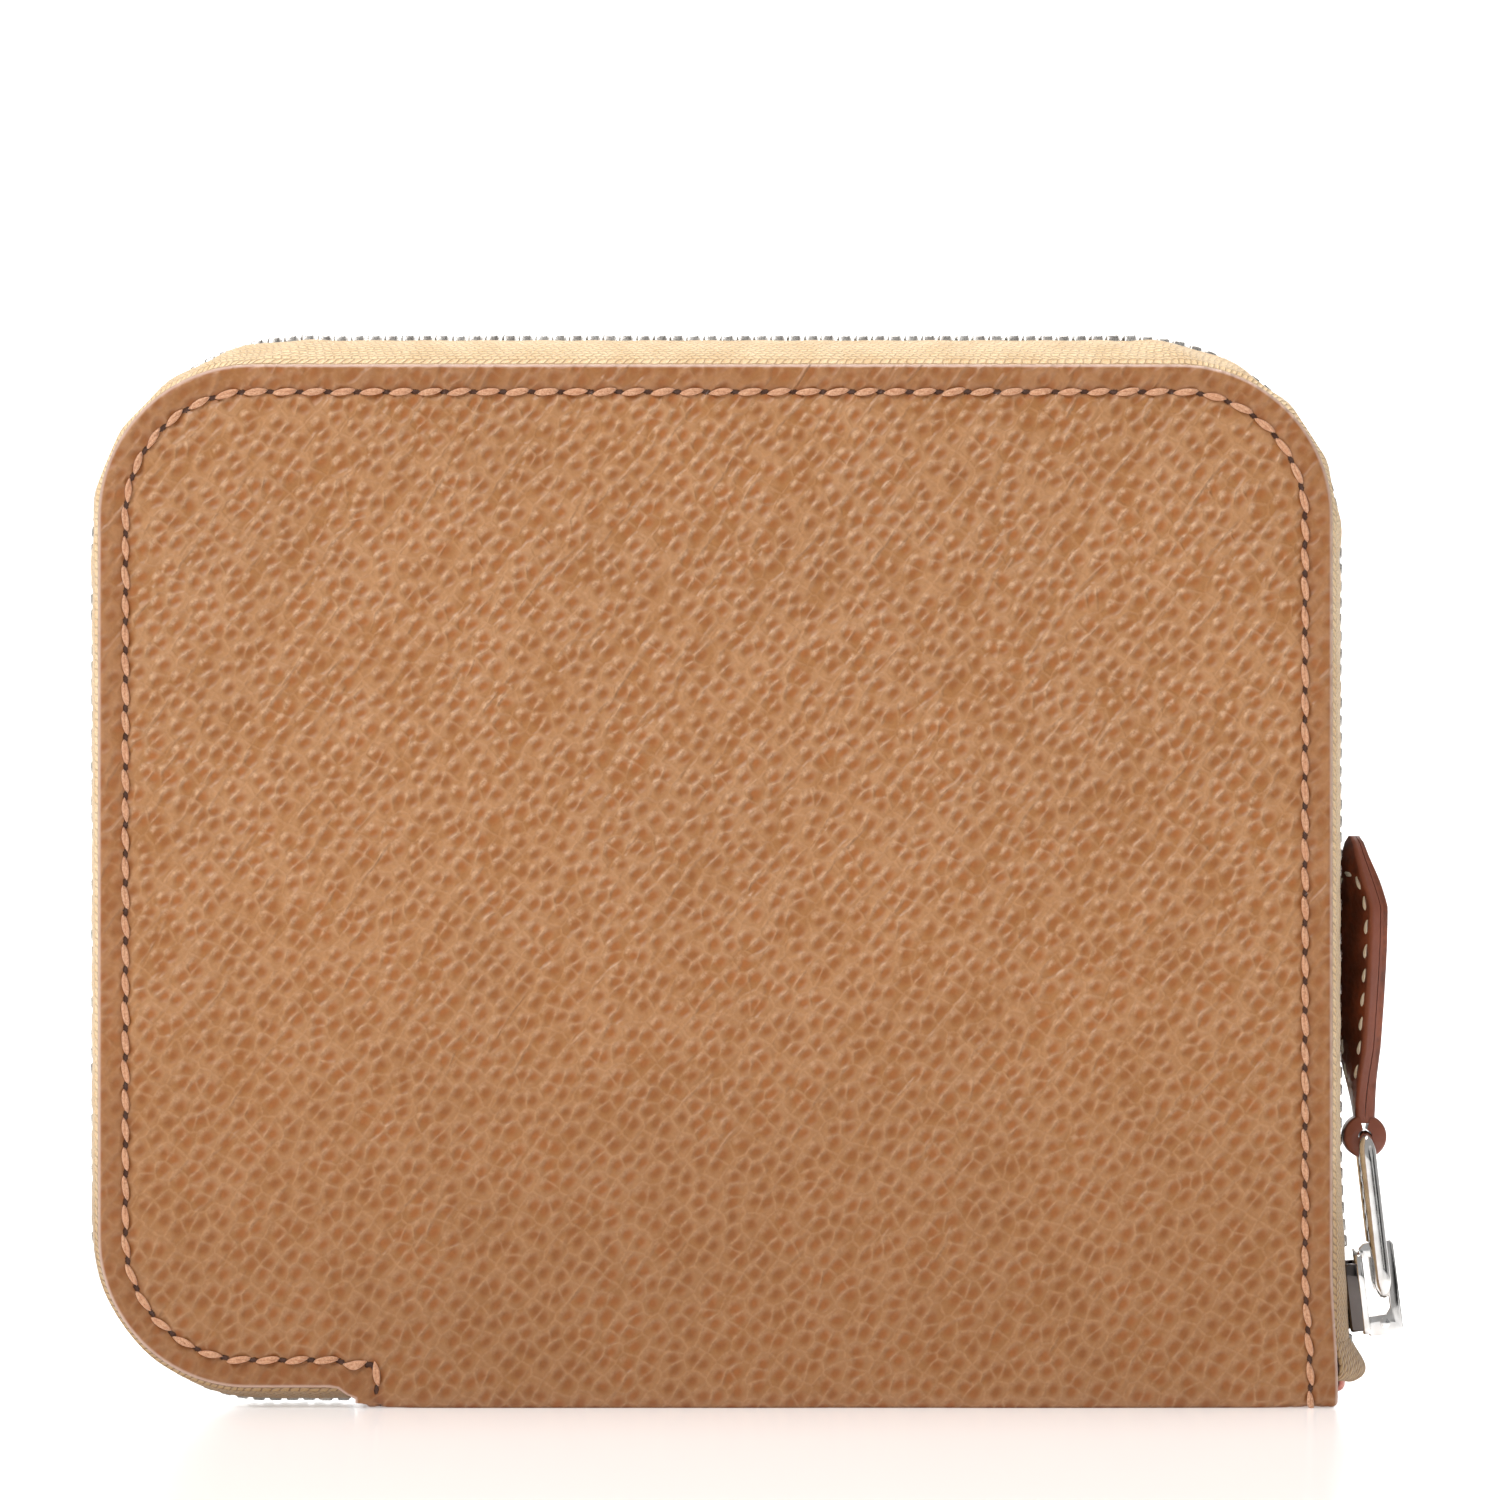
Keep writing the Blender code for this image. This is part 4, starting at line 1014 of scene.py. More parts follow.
def folded_end(side, tape_material):
    """The tape's end folded back on itself below the slider."""
    rows = []
    start = LEATHER_LINE[0]
    chain = CHAIN_LINE[0]
    widths = np.linspace(0, 1, 13)
    depth = 9.0 - 7.9 * widths
    reach = (chain[0] - start[0]) * np.interp(widths, [0, 0.25, 0.6, 1], [0.1, 0.42, 0.72, 0.85])
    turns = [(0.0, 0.9), (0.25, 0.1), (0.75, -0.75), (1.25, -1.6), (1.5, -2.35), (1.25, -2.9), (0.6, -3.2),
             (-0.1, -3.15), (-0.5, -2.7), (-0.6, -2.0)]
    for step, (out, down) in enumerate(turns):
        row = []
        for index, share in enumerate(widths):
            wave = 0.16 * sin(index * 1.1 + step * 0.5 + side)
            spread = 0.35 + 0.75 * share
            row.append((start[0] + reach[index] + out * spread - 0.1, side * depth[index],
                        start[1] + down * (0.82 + 0.18 * share) + wave * 0.6 * (step > 2)))
        rows.append(row)
    points = [point for row in rows for point in row]
    faces = grid_faces(len(rows), len(widths), flip=side == REAR)
    flap = make(WORD[side] + "_tape_end", points, faces, tape_material)
    thick = flap.modifiers.new("thickness", "SOLIDIFY")
    thick.thickness = 0.45 * MM
    thick.offset = -1
    rounded = flap.modifiers.new("soft", "SUBSURF")
    rounded.levels = rounded.render_levels = 2
    freeze(flap)
    rest = np.array([vert.co[:] for vert in flap.data.vertices]) / MM
    store(flap, "cloth_u", rest[:, 2] - (rest[:, 0] - start[0]) * 0.6)
    store(flap, "cloth_v", rest[:, 1])
    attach(flap, COVER_BODY[side])
    return flap


def lining_end(side, material):
    """The tongue of lining that shows behind a folded tape end."""
    shape = ((4.4, 61.0, 1.0), (3.2, 61.75, 1.0), (2.3, 62.1, 0.9), (1.6, 61.9, 0.7), (1.25, 61.3, 0.5))
    points = []
    for z, x, half in shape:
        for index in range(7):
            share = index / 6 - 0.5
            curl = share ** 2
            points.append((x - 2.0 * curl, side * (6.2 + 3.6 * half * share), z + 0.5 * curl))
    tongue = make(WORD[side] + "_lining_end", points, grid_faces(len(shape), 7), material)
    thick = tongue.modifiers.new("thickness", "SOLIDIFY")
    thick.thickness = 0.4 * MM
    rounded = tongue.modifiers.new("soft", "SUBSURF")
    rounded.levels = rounded.render_levels = 1
    freeze(tongue)
    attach(tongue, COVER_BODY[side])
    return tongue


def freeze(thing):
    """Turn a piece's modifiers into its mesh."""
    graph = bpy.context.evaluated_depsgraph_get()
    graph.update()
    mesh = bpy.data.meshes.new_from_object(thing.evaluated_get(graph))
    thing.modifiers.clear()
    thing.data = mesh
    mesh.shade_smooth()
    remember(thing)


# Materials: tape, metal, lining ---------------------------------------------------------------------

def cotton_tape():
    """Beige herringbone tape: rows of slanted yarns with painted shade in the slots between them, all darker
    towards the bottom.
    """
    shade = Shade("cotton_tape_weave", roughness=0.8, Sheen_Weight=0.3, Sheen_Roughness=0.4)
    rest = shade.stored("rest")
    across = shade.stored("cloth_v", "Fac")
    along = shade.stored("cloth_u", "Fac")
    wobble = shade.times(shade.add(shade.noise(rest, 0.9, 2.0), -0.5), 0.35)
    row_place = shade.math("DIVIDE", shade.add(across, wobble), 0.62)
    row = shade.math("FRACT", row_place)
    parity = shade.math("MODULO", shade.math("FLOOR", row_place), 2.0)
    lean = shade.math("MULTIPLY_ADD", parity, 2.0, -1.0)
    slanted = shade.math("MULTIPLY_ADD", shade.times(row, lean), 0.45, shade.math("DIVIDE", along, 0.78))
    beat = shade.math("FRACT", shade.add(slanted, wobble))
    yarn = shade.math("SINE", shade.times(beat, pi))
    ridge = shade.math("SINE", shade.times(row, pi))
    weave = shade.times(shade.math("POWER", yarn, 0.6), shade.math("POWER", ridge, 0.5))
    slot = shade.ramp(weave, 0.25, 0.62, 1.0, 0.0)
    fibre = shade.noise(rest, 7.0, 3.0, 0.7)
    broad = shade.noise(rest, 0.3, 2.0)
    colour = shade.mix(shade.ramp(fibre, 0.3, 0.75), srgb(234, 196, 146), srgb(254, 232, 194))
    colour = shade.mix(shade.ramp(broad, 0.35, 0.7, 0.0, 0.3), colour, srgb(212, 166, 108))
    # Painted shade: the tape and the slots between its yarns are made darker towards the bottom.
    low = shade.ramp(shade.parts(rest)[2], 6.0, 34.0, 1.0, 0.0)
    colour = shade.mix(shade.times(low, 0.62), colour, srgb(158, 118, 70))
    shadow = shade.times(slot, shade.math("MULTIPLY_ADD", low, 0.4, 0.32))
    colour = shade.mix(shadow, colour, srgb(122, 80, 44))
    height = shade.math("MULTIPLY_ADD", fibre, 0.2, weave)
    return shade.finish(colour, None, shade.bump(height, 0.16, 0.9))


def tooth_metal():
    """Nickel-plated teeth, a little darker and duller where they are worn."""
    shade = Shade("zip_teeth_nickel", roughness=0.28, metallic=1.0)
    rest = shade.stored("rest")
    wear = shade.noise(rest, 0.8, 3.0)
    scratch = shade.noise(rest, 6.0, 3.0, 0.7)
    colour = shade.mix(shade.ramp(wear, 0.3, 0.7), srgb(176, 170, 164), srgb(222, 219, 214))
    roughness = shade.ramp(scratch, 0.3, 0.8, 0.22, 0.42)
    return shade.finish(colour, roughness, shade.bump(scratch, 0.02, 0.5))


def slider_metal():
    """Bright chrome with faint polishing marks, painted dark on the parts that sit in shade."""
    shade = Shade("slider_chrome", roughness=0.08, metallic=1.0)
    rest = shade.stored("rest")
    recess_shade = shade.stored("recess_shade", "Fac")
    marks = shade.noise(shade.mapped(rest, scale=(1, 1, 0.12)), 5.0, 3.0, 0.7)
    stain = shade.noise(rest, 0.5, 2.0)
    colour = shade.mix(shade.ramp(stain, 0.3, 0.7), srgb(224, 220, 216), srgb(244, 242, 240))
    # Painted shade on the recessed parts.
    colour = shade.mix(shade.times(recess_shade, 0.93), colour, srgb(70, 60, 56))
    roughness = shade.ramp(marks, 0.35, 0.8, 0.05, 0.16)
    return shade.finish(colour, roughness, shade.bump(marks, 0.008, 0.4))


def coral_satin():
    """Coral lining cloth with a fine satin weave."""
    shade = Shade("coral_satin", roughness=0.42, Sheen_Weight=0.35, Sheen_Roughness=0.3)
    rest = shade.stored("rest")
    x, _, z = shade.parts(rest)
    warp = shade.math("SINE", shade.times(x, 2 * pi / 0.32))
    weft = shade.math("SINE", shade.times(z, 2 * pi / 0.32))
    weave = shade.times(warp, weft)
    slub = shade.noise(shade.mapped(rest, scale=(0.05, 1, 1.8)), 1.0, 3.0)
    cloud = shade.noise(rest, 0.08, 2.0)
    colour = shade.mix(shade.ramp(slub, 0.3, 0.75), srgb(214, 122, 106), srgb(238, 156, 138))
    colour = shade.mix(shade.ramp(cloud, 0.4, 0.7, 0.0, 0.3), colour, srgb(202, 108, 94))
    height = shade.math("MULTIPLY_ADD", weave, 0.5, slub)
    return shade.finish(colour, None, shade.bump(height, 0.04, 0.6))


# Slider and pull --------------------------------------------------------------------------------------

SLIDER_LOW, SLIDER_HIGH = box_mm("slider_body")
BRIDGE_LOW, BRIDGE_HIGH = box_mm("slider_bridge")
TAB_HIGH = box_mm("pull_tab")[1]
SLIDER_TILT = radians(7)
SLIDER_CENTRE = ((SLIDER_LOW[0] + SLIDER_HIGH[0]) / 2 + 1.2, (SLIDER_LOW[2] + SLIDER_HIGH[2]) / 2)
BAIL_FOOT = (66.0, 10.8)
BAIL_HEAD = (64.2, 26.3)
BAIL_HALF = 3.05
BAIL_CORNER = 1.5
BAIL_RADIUS = 0.6


def tilted(points):
    """Lean the slider with the chain, which runs outwards towards its closed end."""
    points = np.array(points)
    x = points[:, 0] - SLIDER_CENTRE[0]
    z = points[:, 2] - SLIDER_CENTRE[1]
    points[:, 0] = SLIDER_CENTRE[0] + x * cos(SLIDER_TILT) - z * sin(SLIDER_TILT)
    points[:, 2] = SLIDER_CENTRE[1] + x * sin(SLIDER_TILT) + z * cos(SLIDER_TILT)
    return points


def slider_plan(scale=1.0, shift=0.0):
    """A slider plate's plan as (y, z): broad shoulders at the open end and a narrow tail."""
    right = [(0.9, 4.3), (2.6, 4.15), (3.55, 3.6), (4.0, 2.5), (4.05, 1.2), (3.8, -0.2), (3.45, -1.6),
             (3.3, -3.0), (3.25, -3.9), (2.9, -4.3), (1.5, -4.4)]
    shape = right + [(-y, z) for y, z in reversed(right)]
    return [(y * scale, SLIDER_CENTRE[1] + z * scale + shift) for y, z in shape]


def slider_body(material):
    """Two flanged plates joined by the wedge that parts the teeth."""
    outer_x = SLIDER_HIGH[0]
    parts = []
    parts.append(bevelled_outline(slider_plan(), outer_x - 0.85, outer_x - 0.05, 0.3, "X", 4))
    profile = [(4.0, 2.9), (4.05, 1.1), (3.8, -0.4), (3.4, -2.4), (3.25, -3.9), (2.75, -3.9), (2.9, -2.3),
               (3.3, -0.3), (3.5, 1.1), (3.45, 2.9)]
    for y in (-1, 1):
        flange = [(y * away, SLIDER_CENTRE[1] + up) for away, up in profile]
        parts.append(bevelled_outline(flange, outer_x - 2.05, outer_x - 0.6, 0.25, "X", 3))
    inner_x = SLIDER_LOW[0] - 0.35
    parts.append(bevelled_outline(slider_plan(0.93), inner_x, inner_x + 0.75, 0.2, "X", 3))
    wedge = [(y, SLIDER_CENTRE[1] + up) for y, up in
             ((-0.24, -1.7), (0.24, -1.7), (0.34, -0.4), (0.0, 0.4), (-0.34, -0.4))]
    parts.append(bevelled_outline(wedge, SLIDER_LOW[0] + 0.1, outer_x - 0.8, 0.06, "X", 1))
    parts = [(tilted(points).tolist(), faces) for points, faces in parts]
    parts = [(points, oriented(points, faces)) for points, faces in parts]
    # Painted shade for the flanges, inner plate and wedge, which sit in the slider's recess.
    shadows = (0, 1, 1, 0.5, 1)
    recess_shade = np.concatenate([np.full(len(part[0]), dark) for part, dark in zip(parts, shadows)])
    points, faces = join_parts(parts)
    body = make("main_slider", points, faces, material, sharp=35)
    store(body, "recess_shade", recess_shade)
    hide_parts("slider_body")
    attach(body, "zip_slider")
    return body


def slider_bridge(material):
    """The cap that holds the bail: a staple open towards the slider, with a pin in each cheek."""
    x0 = BRIDGE_LOW[0] - 0.55
    x1 = BRIDGE_HIGH[0] - 0.25
    z0, z1 = BRIDGE_LOW[2] + 0.1, BRIDGE_HIGH[2] - 0.1
    outline = [(x0, z1 - 1.5), (x0, z1 - 0.55), (x0 + 0.5, z1 - 0.1), (x0 + 1.3, z1), (x1 - 0.35, z1),
               (x1, z1 - 0.4), (x1, z0 + 0.5), (x1 - 0.4, z0), (x0 + 0.2, z0), (x0, z0 + 0.2)]
    ring = outline + [(x0, z0 + 2.0), (x1 - 1.55, z0 + 2.0), (x1 - 1.1, z0 + 2.6), (x1 - 1.1, z1 - 1.5)]
    points, faces = bevelled_outline(ring, -1.95, 1.95, 0.22, "Y", 3)
    parts = [(tilted(points).tolist(), faces)]
    centre = (x0 + 1.75, z0 + 1.15)
    for y in (-1, 1):
        for radius, low, high in ((0.52, 1.9, 2.02), (0.36, 1.98, 2.10)):
            disc = [(centre[0] + radius * cos(a), centre[1] + radius * sin(a))
                    for a in np.linspace(0, 2 * pi, 21)[:-1]]
            near, far = sorted((y * low, y * high))
            points, faces = bevelled_outline(disc, near, far, 0.05, "Y", 2)
            parts.append((tilted(points).tolist(), faces))
    parts = [(points, oriented(points, faces)) for points, faces in parts]
    points, faces = join_parts(parts)
    bridge = make("main_bridge", points, faces, material, sharp=35)
    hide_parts("slider_bridge")
    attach(bridge, "zip_slider")
    return bridge


def tube(centres, radius, squash, sides=14):
    """A closed ring of bar through centres, its section squashed along the third axis of each turn."""
    centres = np.array(centres)
    steps = np.roll(centres, -1, axis=0) - np.roll(centres, 1, axis=0)
    points = []
    reference = Vector((1, 0, 0.1))
    for index, centre in enumerate(centres):
        tangent = Vector(steps[index]).normalized()
        first = tangent.cross(reference).normalized()
        second = tangent.cross(first)
        for side in range(sides):
            angle = 2 * pi * side / sides
            offset = first * (radius * cos(angle)) + second * (radius * squash[index] * sin(angle))
            points.append(tuple(Vector(centre) + offset))
    return points, oriented(points, grid_faces(len(centres), sides, wrap_rows=True, wrap_columns=True))


def pull_bail(material):
    """The long slim ring that joins the slider to its leather tab."""
    foot = np.array([BAIL_FOOT[0], 0, BAIL_FOOT[1]])
    head = np.array([BAIL_HEAD[0], 0, BAIL_HEAD[1]])
    up = (head - foot) / np.linalg.norm(head - foot)
    length = np.linalg.norm(head - foot)
    half = BAIL_HALF
    corner = BAIL_CORNER
    centres = []
    turns = ((half - corner, length - corner, 0), (corner - half, length - corner, 90),
             (corner - half, corner, 180), (half - corner, corner, 270))
    for centre_y, centre_s, start in turns:
        for angle in np.radians(np.linspace(start, start + 90, 8)):
            y = centre_y + corner * cos(angle)
            run = centre_s + corner * sin(angle)
            centres.append(foot + up * run + np.array([0, y, 0]))
    line = []
    for index, centre in enumerate(centres):
        after = centres[(index + 1) % len(centres)]
        pieces = max(1, int(np.linalg.norm(after - centre) / 0.9))
        line += [centre + (after - centre) * part / pieces for part in range(pieces)]
    tangents = np.gradient(np.array(line), axis=0)
    upright = np.abs(tangents @ up) / np.linalg.norm(tangents, axis=1)
    points, faces = tube(line, BAIL_RADIUS, 0.95 + 0.5 * upright ** 2)
    bail = make("main_bail", points, faces, material)
    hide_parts("pull_bail")
    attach(bail, "bail")
    return bail


TAB_TWIST = radians(25)
TAB_ROOT = 27.6
TAB_SHOULDER = 49.0
TAB_LOOP_HALF = 2.25
TAB_LOOP_RADIUS = 2.16
TAB_LOOP_HOLE = 0.68
TAB_SEAM_INSET = 1.1


def tab_place(y, z, lift):
    """A place on the leather tab: it twists and leans a little as it rises from its loop."""
    rise = smooth((z - TAB_ROOT) / 8)
    twist = TAB_TWIST * rise
    middle = BAIL_HEAD[0] - 0.42 * smooth((z - TAB_ROOT) / 7) - 0.55 * smooth((z - TAB_SHOULDER) / 7)
    x = middle + lift * cos(twist) - y * sin(twist)
    return x, y * cos(twist) + lift * sin(twist), z


def tab_half_width(z):
    """Half width of the tab at a height: it widens slowly from the loop, then narrows to a blunt point."""
    if z > TAB_SHOULDER:
        share = (z - TAB_SHOULDER) / (TAB_HIGH[2] - TAB_SHOULDER)
        return max(0.35, 4.4 * (1 - share) + 0.9 * share - 1.2 * max(0, share - 0.9) * 5)
    return 2.15 + 2.25 * smooth((z - 27.0) / 22) ** 0.9


def pull_tab(material):
    """Russet leather doubled round the bail: a loop at the bottom and two layers sewn together above it."""
    across = np.array([-1, -0.98, -0.93, -0.8, -0.6, -0.3, 0, 0.3, 0.6, 0.8, 0.93, 0.98, 1])
    heights = list(np.linspace(TAB_HIGH[2], TAB_ROOT, 46))
    parts = []
    for layer in (1, -1):
        outer, inner = [], []
        for z in heights:
            half = tab_half_width(z)
            thick = 0.98 - 0.36 * smooth((z - TAB_SHOULDER - 2) / 5)
            opening = -0.04 * (1 - smooth((z - TAB_ROOT) / 2.0))
            row_out, row_in = [], []
            for share in across:
                edge = max(0.0, 1 - (1 - abs(share)) * half / 0.4)
                round_off = 0.28 * edge ** 2
                pad = 0.10 * (1 - share ** 2) * smooth((TAB_HIGH[2] - z) / 4)
                from_seam = half - abs(share) * half - TAB_SEAM_INSET
                seam = -0.10 * np.exp(-(from_seam / 0.35) ** 2) * (z < 53)
                lift = thick - round_off + pad + seam + opening
                row_out.append(tab_place(share * half, z, layer * lift))
                row_in.append(tab_place(share * half, z, layer * (0.04 + opening)))
            outer.append(row_out)
            inner.append(row_in)
        points = [p for row in outer for p in row] + [p for row in inner for p in row]
        faces = skin_faces(len(heights), len(across))
        parts.append((points, oriented(points, faces)))
    loop_out, loop_in = [], []
    centre = (BAIL_HEAD[0], BAIL_HEAD[1])
    for angle in np.radians(np.linspace(74, -254, 40)):
        row_out, row_in = [], []
        for share in across:
            y = share * TAB_LOOP_HALF
            edge = max(0.0, 1 - (1 - abs(share)) * TAB_LOOP_HALF / 0.4)
            far = TAB_LOOP_RADIUS - 0.22 * edge ** 2
            row_out.append((centre[0] + far * cos(angle), y, centre[1] + far * sin(angle)))
            near = TAB_LOOP_HOLE
            row_in.append((centre[0] + near * cos(angle), y, centre[1] + near * sin(angle)))
        loop_out.append(row_out)
        loop_in.append(row_in)
    points = [p for row in loop_out for p in row] + [p for row in loop_in for p in row]
    faces = skin_faces(len(loop_out), len(across))
    parts.append((points, oriented(points, faces)))
    points, faces = join_parts(parts)
    tab = make("pull_leather", points, faces, material, sharp=50)
    rest = np.array(points)
    halves = np.array([tab_half_width(z) if z > TAB_ROOT + 0.6 else TAB_LOOP_HALF for z in rest[:, 2]])
    store(tab, "away", halves - np.abs(rest[:, 1]) / np.where(rest[:, 2] > 32, cos(TAB_TWIST), 1.0))
    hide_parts("pull_tab")
    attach(tab, "tab")
    return tab


def tab_stitches(material):
    """Pale stitches near the tab's edge on both faces."""
    line = [(-(tab_half_width(z) - TAB_SEAM_INSET), z) for z in np.linspace(31.5, 52.2, 24)]
    line += [(tab_half_width(z) - TAB_SEAM_INSET, z) for z in np.linspace(52.2, 31.5, 24)]
    line = resample(np.array(line), 2.35)
    parts = []
    for face in (-1, 1):
        for index in range(len(line) - 1):
            middle = (line[index] + line[index + 1]) / 2
            step = line[index + 1] - line[index]
            heading = atan2(step[1], step[0]) + radians(7)
            points, faces = twisted_stitch(1.75, 0.2, 0.15, 1.4, 9, 7)
            placed = []
            for s, t, lift in points:
                y = middle[0] + s * cos(heading) - t * sin(heading)
                z = middle[1] + s * sin(heading) + t * cos(heading)
                placed.append(tab_place(y, z, face * (0.93 + lift)))
            parts.append((placed, oriented(placed, faces)))
    points, faces = join_parts(parts)
    stitches = make("pull_stitches", points, faces, material)
    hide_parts("pull_tab_thread")
    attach(stitches, "tab")
    return stitches


def russet_leather():
    """Oily russet leather: dark, mottled, paler and pink where its cut edge catches the light."""
    shade = Shade("russet_leather_grain", roughness=0.42)
    rest = shade.stored("rest")
    grain_size = shade.voronoi(shade.warped(rest, 0.4, 0.9), 1.3, "SMOOTH_F1", Smoothness=0.3)
    fine = shade.noise(rest, 3.0, 4.0, 0.6)
    cloud = shade.noise(rest, 0.25, 3.0)
    colour = shade.mix(shade.ramp(cloud, 0.3, 0.7), srgb(94, 46, 26), srgb(144, 72, 40))
    colour = shade.mix(shade.ramp(grain_size, 0.2, 0.6, 0.25, 0.0), colour, srgb(52, 24, 16))
    edge = shade.ramp(shade.stored("away", "Fac"), 0.04, 0.20, 1.0, 0.0)
    colour = shade.mix(shade.times(edge, 0.8), colour, srgb(140, 78, 58))
    height = shade.math("MULTIPLY_ADD", fine, 0.4, grain_size)
    return shade.finish(colour, shade.ramp(fine, 0.3, 0.8, 0.34, 0.5), shade.bump(height, 0.1, 0.5))


def tab_thread():
    """Pale thread for the leather tab."""
    shade = Shade("tab_thread_twist", roughness=0.6)
    rest = shade.stored("rest")
    fibre = shade.noise(rest, 5.0, 3.0, 0.6)
    return shade.finish(shade.mix(fibre, srgb(196, 178, 150), srgb(236, 224, 202)), None,
                        shade.bump(fibre, 0.05, 0.5))


# Inside ---------------------------------------------------------------------------------------------

PANEL_SEAM_INSET = 1.6
MOUTH_INSET = 1.2                  # from a pocket's mouth to its first stitch


def refine(node, name, material, body, bevel=0.12, segments=2):
    """A CAD node's shape with its corners rounded and a finish of its own."""
    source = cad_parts[node]
    bm = bmesh.new()
    bm.from_mesh(source.data)
    bm.transform(source.matrix_world)
    bmesh.ops.scale(bm, vec=(1 / MM, 1 / MM, 1 / MM), verts=bm.verts)
    bmesh.ops.remove_doubles(bm, verts=bm.verts, dist=0.001)
    bmesh.ops.dissolve_limit(bm, angle_limit=radians(1), verts=bm.verts, edges=bm.edges)
    bmesh.ops.recalc_face_normals(bm, faces=bm.faces)
    rim = [edge for edge in bm.edges if edge.is_manifold and edge.calc_face_angle(0) > radians(28)]
    bmesh.ops.bevel(bm, geom=rim, offset=bevel, segments=segments, profile=0.5, affect="EDGES",
                    clamp_overlap=True)
    bmesh.ops.triangulate(bm, faces=[face for face in bm.faces if len(face.verts) > 4])
    points, faces = mesh_of(bm)
    thing = make(name, points, faces, material, sharp=35)
    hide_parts(node)
    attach(thing, body)
    return thing


def steps_towards_edges(low, high, pitch):
    """Levels from low to high at a pitch, with close ones by both ends."""
    near = [0.0, 0.08, 0.22, 0.5, 1.0]
    inner = np.linspace(low + 1.8, high - 1.8, max(2, int((high - low) / pitch)))
    return np.concatenate([low + np.array(near), inner, high - np.array(near[::-1])])


def rounded_side(half, low, high, low_radius, high_radius):
    """Half the width of a rounded panel at each height."""
    def width(z):
        for radius, edge in ((low_radius, z - low), (high_radius, high - z)):
            if radius > 0 and edge < radius:
                return half - radius + sqrt(max(0.0, radius ** 2 - (radius - edge) ** 2))
        return half
    return width


def panel(name, left, right, low, top, near_y, far_y, material, swell=0.0, seed=0.0, pitch=1.6):
    """A thin soft panel: left and right give its sides at a height, top its upper edge at an x."""
    crown = top(0.0) if top(0.0) > top(99.0) else top(99.0)
    levels = steps_towards_edges(low, crown, pitch)
    shares = steps_towards_edges(0.0, 100.0, pitch) / 100
    rows, columns = len(levels), len(shares)
    middle = (near_y + far_y) / 2
    points, mouth, away = [], [], []
    for face_y in (near_y, far_y):
        for level in levels:
            for share in shares:
                x = left(level) + (right(level) - left(level)) * share
                lift = (level - low) / (crown - low)
                z = low + (top(x) - low) * lift
                edge = min(x - left(level), right(level) - x, level - low, (crown - level))
                away.append(max(edge, 0))
                mouth.append(top(x) - z)
                soft = 0.55 + 0.45 * sqrt(1 - (1 - min(1, max(edge, 0) / 0.3)) ** 2)
                wave = noise.noise(Vector((x / 16, z / 13, seed))) * swell * smooth(edge / 6)
                points.append((x, middle + (face_y - middle) * soft + wave, z))
    faces = skin_faces(rows, columns)
    thing = make(name, points, oriented(points, faces), material, sharp=70)
    store(thing, "mouth", mouth)
    store(thing, "away", away)
    return thing


def lining(side, material):
    """The coral cloth stretched over the inside of a cover."""
    node = WORD[side] + "_lining"
    low, high = box_mm(node)
    half = high[0]
    width = rounded_side(half, low[2], high[2], 0, 12)
    tail = rounded_side(half, low[2], high[2], 9, 12)
    cloth = panel(node + "_cloth", lambda z: -tail(z), width, low[2], lambda x: high[2], low[1], high[1],
                  material, 0.10, 2.0 + side)
    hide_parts(node)
    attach(cloth, COVER_BODY[side])
    return cloth


def row_of_stitches(name, line, y, face, body, material, pitch=2.85):
    """Stitches along a line of (x, z) places on an upright panel's face."""
    line = resample(np.array(line, dtype=float), pitch)
    parts = []
    for index in range(len(line) - 1):
        middle = (line[index] + line[index + 1]) / 2
        step = line[index + 1] - line[index]
        heading = atan2(step[1], step[0]) + radians(8)
        points, faces = twisted_stitch(2.1, 0.2, 0.15, 1.4, 7, 6)
        placed = [(middle[0] + s * cos(heading) - t * sin(heading), y + face * (lift + 0.02),
                   middle[1] + s * sin(heading) + t * cos(heading)) for s, t, lift in points]
        parts.append((placed, oriented(placed, faces)))
    points, faces = join_parts(parts)
    stitches = make(name, points, faces, material)
    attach(stitches, body)
    return stitches


def pocket_seam(low, high):
    """The seam down one side of a pocket, along its bottom and up the other side, as (x, z) places."""
    left, right = low[0] + PANEL_SEAM_INSET, high[0] - PANEL_SEAM_INSET
    top, bottom = high[2] - MOUTH_INSET, low[2] + PANEL_SEAM_INSET
    return [(left, top), (left, bottom), (right, bottom), (right, top)]


def pockets(leather_look, thread_look):
    """Four stepped card pockets on the rear cover and a thumb-cut slip pocket on the front one."""
    for number in range(1, 5):
        node = "card_pocket_" + str(number)
        low, high = box_mm(node)
        card = panel(node + "_leather", lambda z: low[0], lambda z: high[0], low[2], lambda x: high[2],
                     low[1], high[1], leather_look, 0.08, 10.0 + number)
        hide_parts(node)
        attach(card, "rear_cover")
        left, right, top = low[0] + PANEL_SEAM_INSET, high[0] - PANEL_SEAM_INSET, high[2] - MOUTH_INSET
        sides = [[(left, high[2] - 10.5), (left, top)], [(right, high[2] - 10.5), (right, top)]]
        if number == 4:
            sides = [pocket_seam(low, high)]
        for index, line in enumerate(sides):
            row_of_stitches(node + "_stitches_" + str(index + 1), line, low[1], -1, "rear_cover",
                            thread_look)
    low, high = box_mm("slip_pocket")

    def mouth(x):
        return high[2] - 7.0 * (0.5 + 0.5 * cos(pi * min(1, abs(x) / 16))) if abs(x) < 16 else high[2]

    slip = panel("slip_pocket_leather", lambda z: low[0], lambda z: high[0], low[2], mouth, low[1], high[1],
                 leather_look, 0.08, 21.0)
    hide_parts("slip_pocket")
    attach(slip, "front_cover")
    row_of_stitches("slip_pocket_stitches", pocket_seam(low, high), high[1], 1, "front_cover", thread_look)


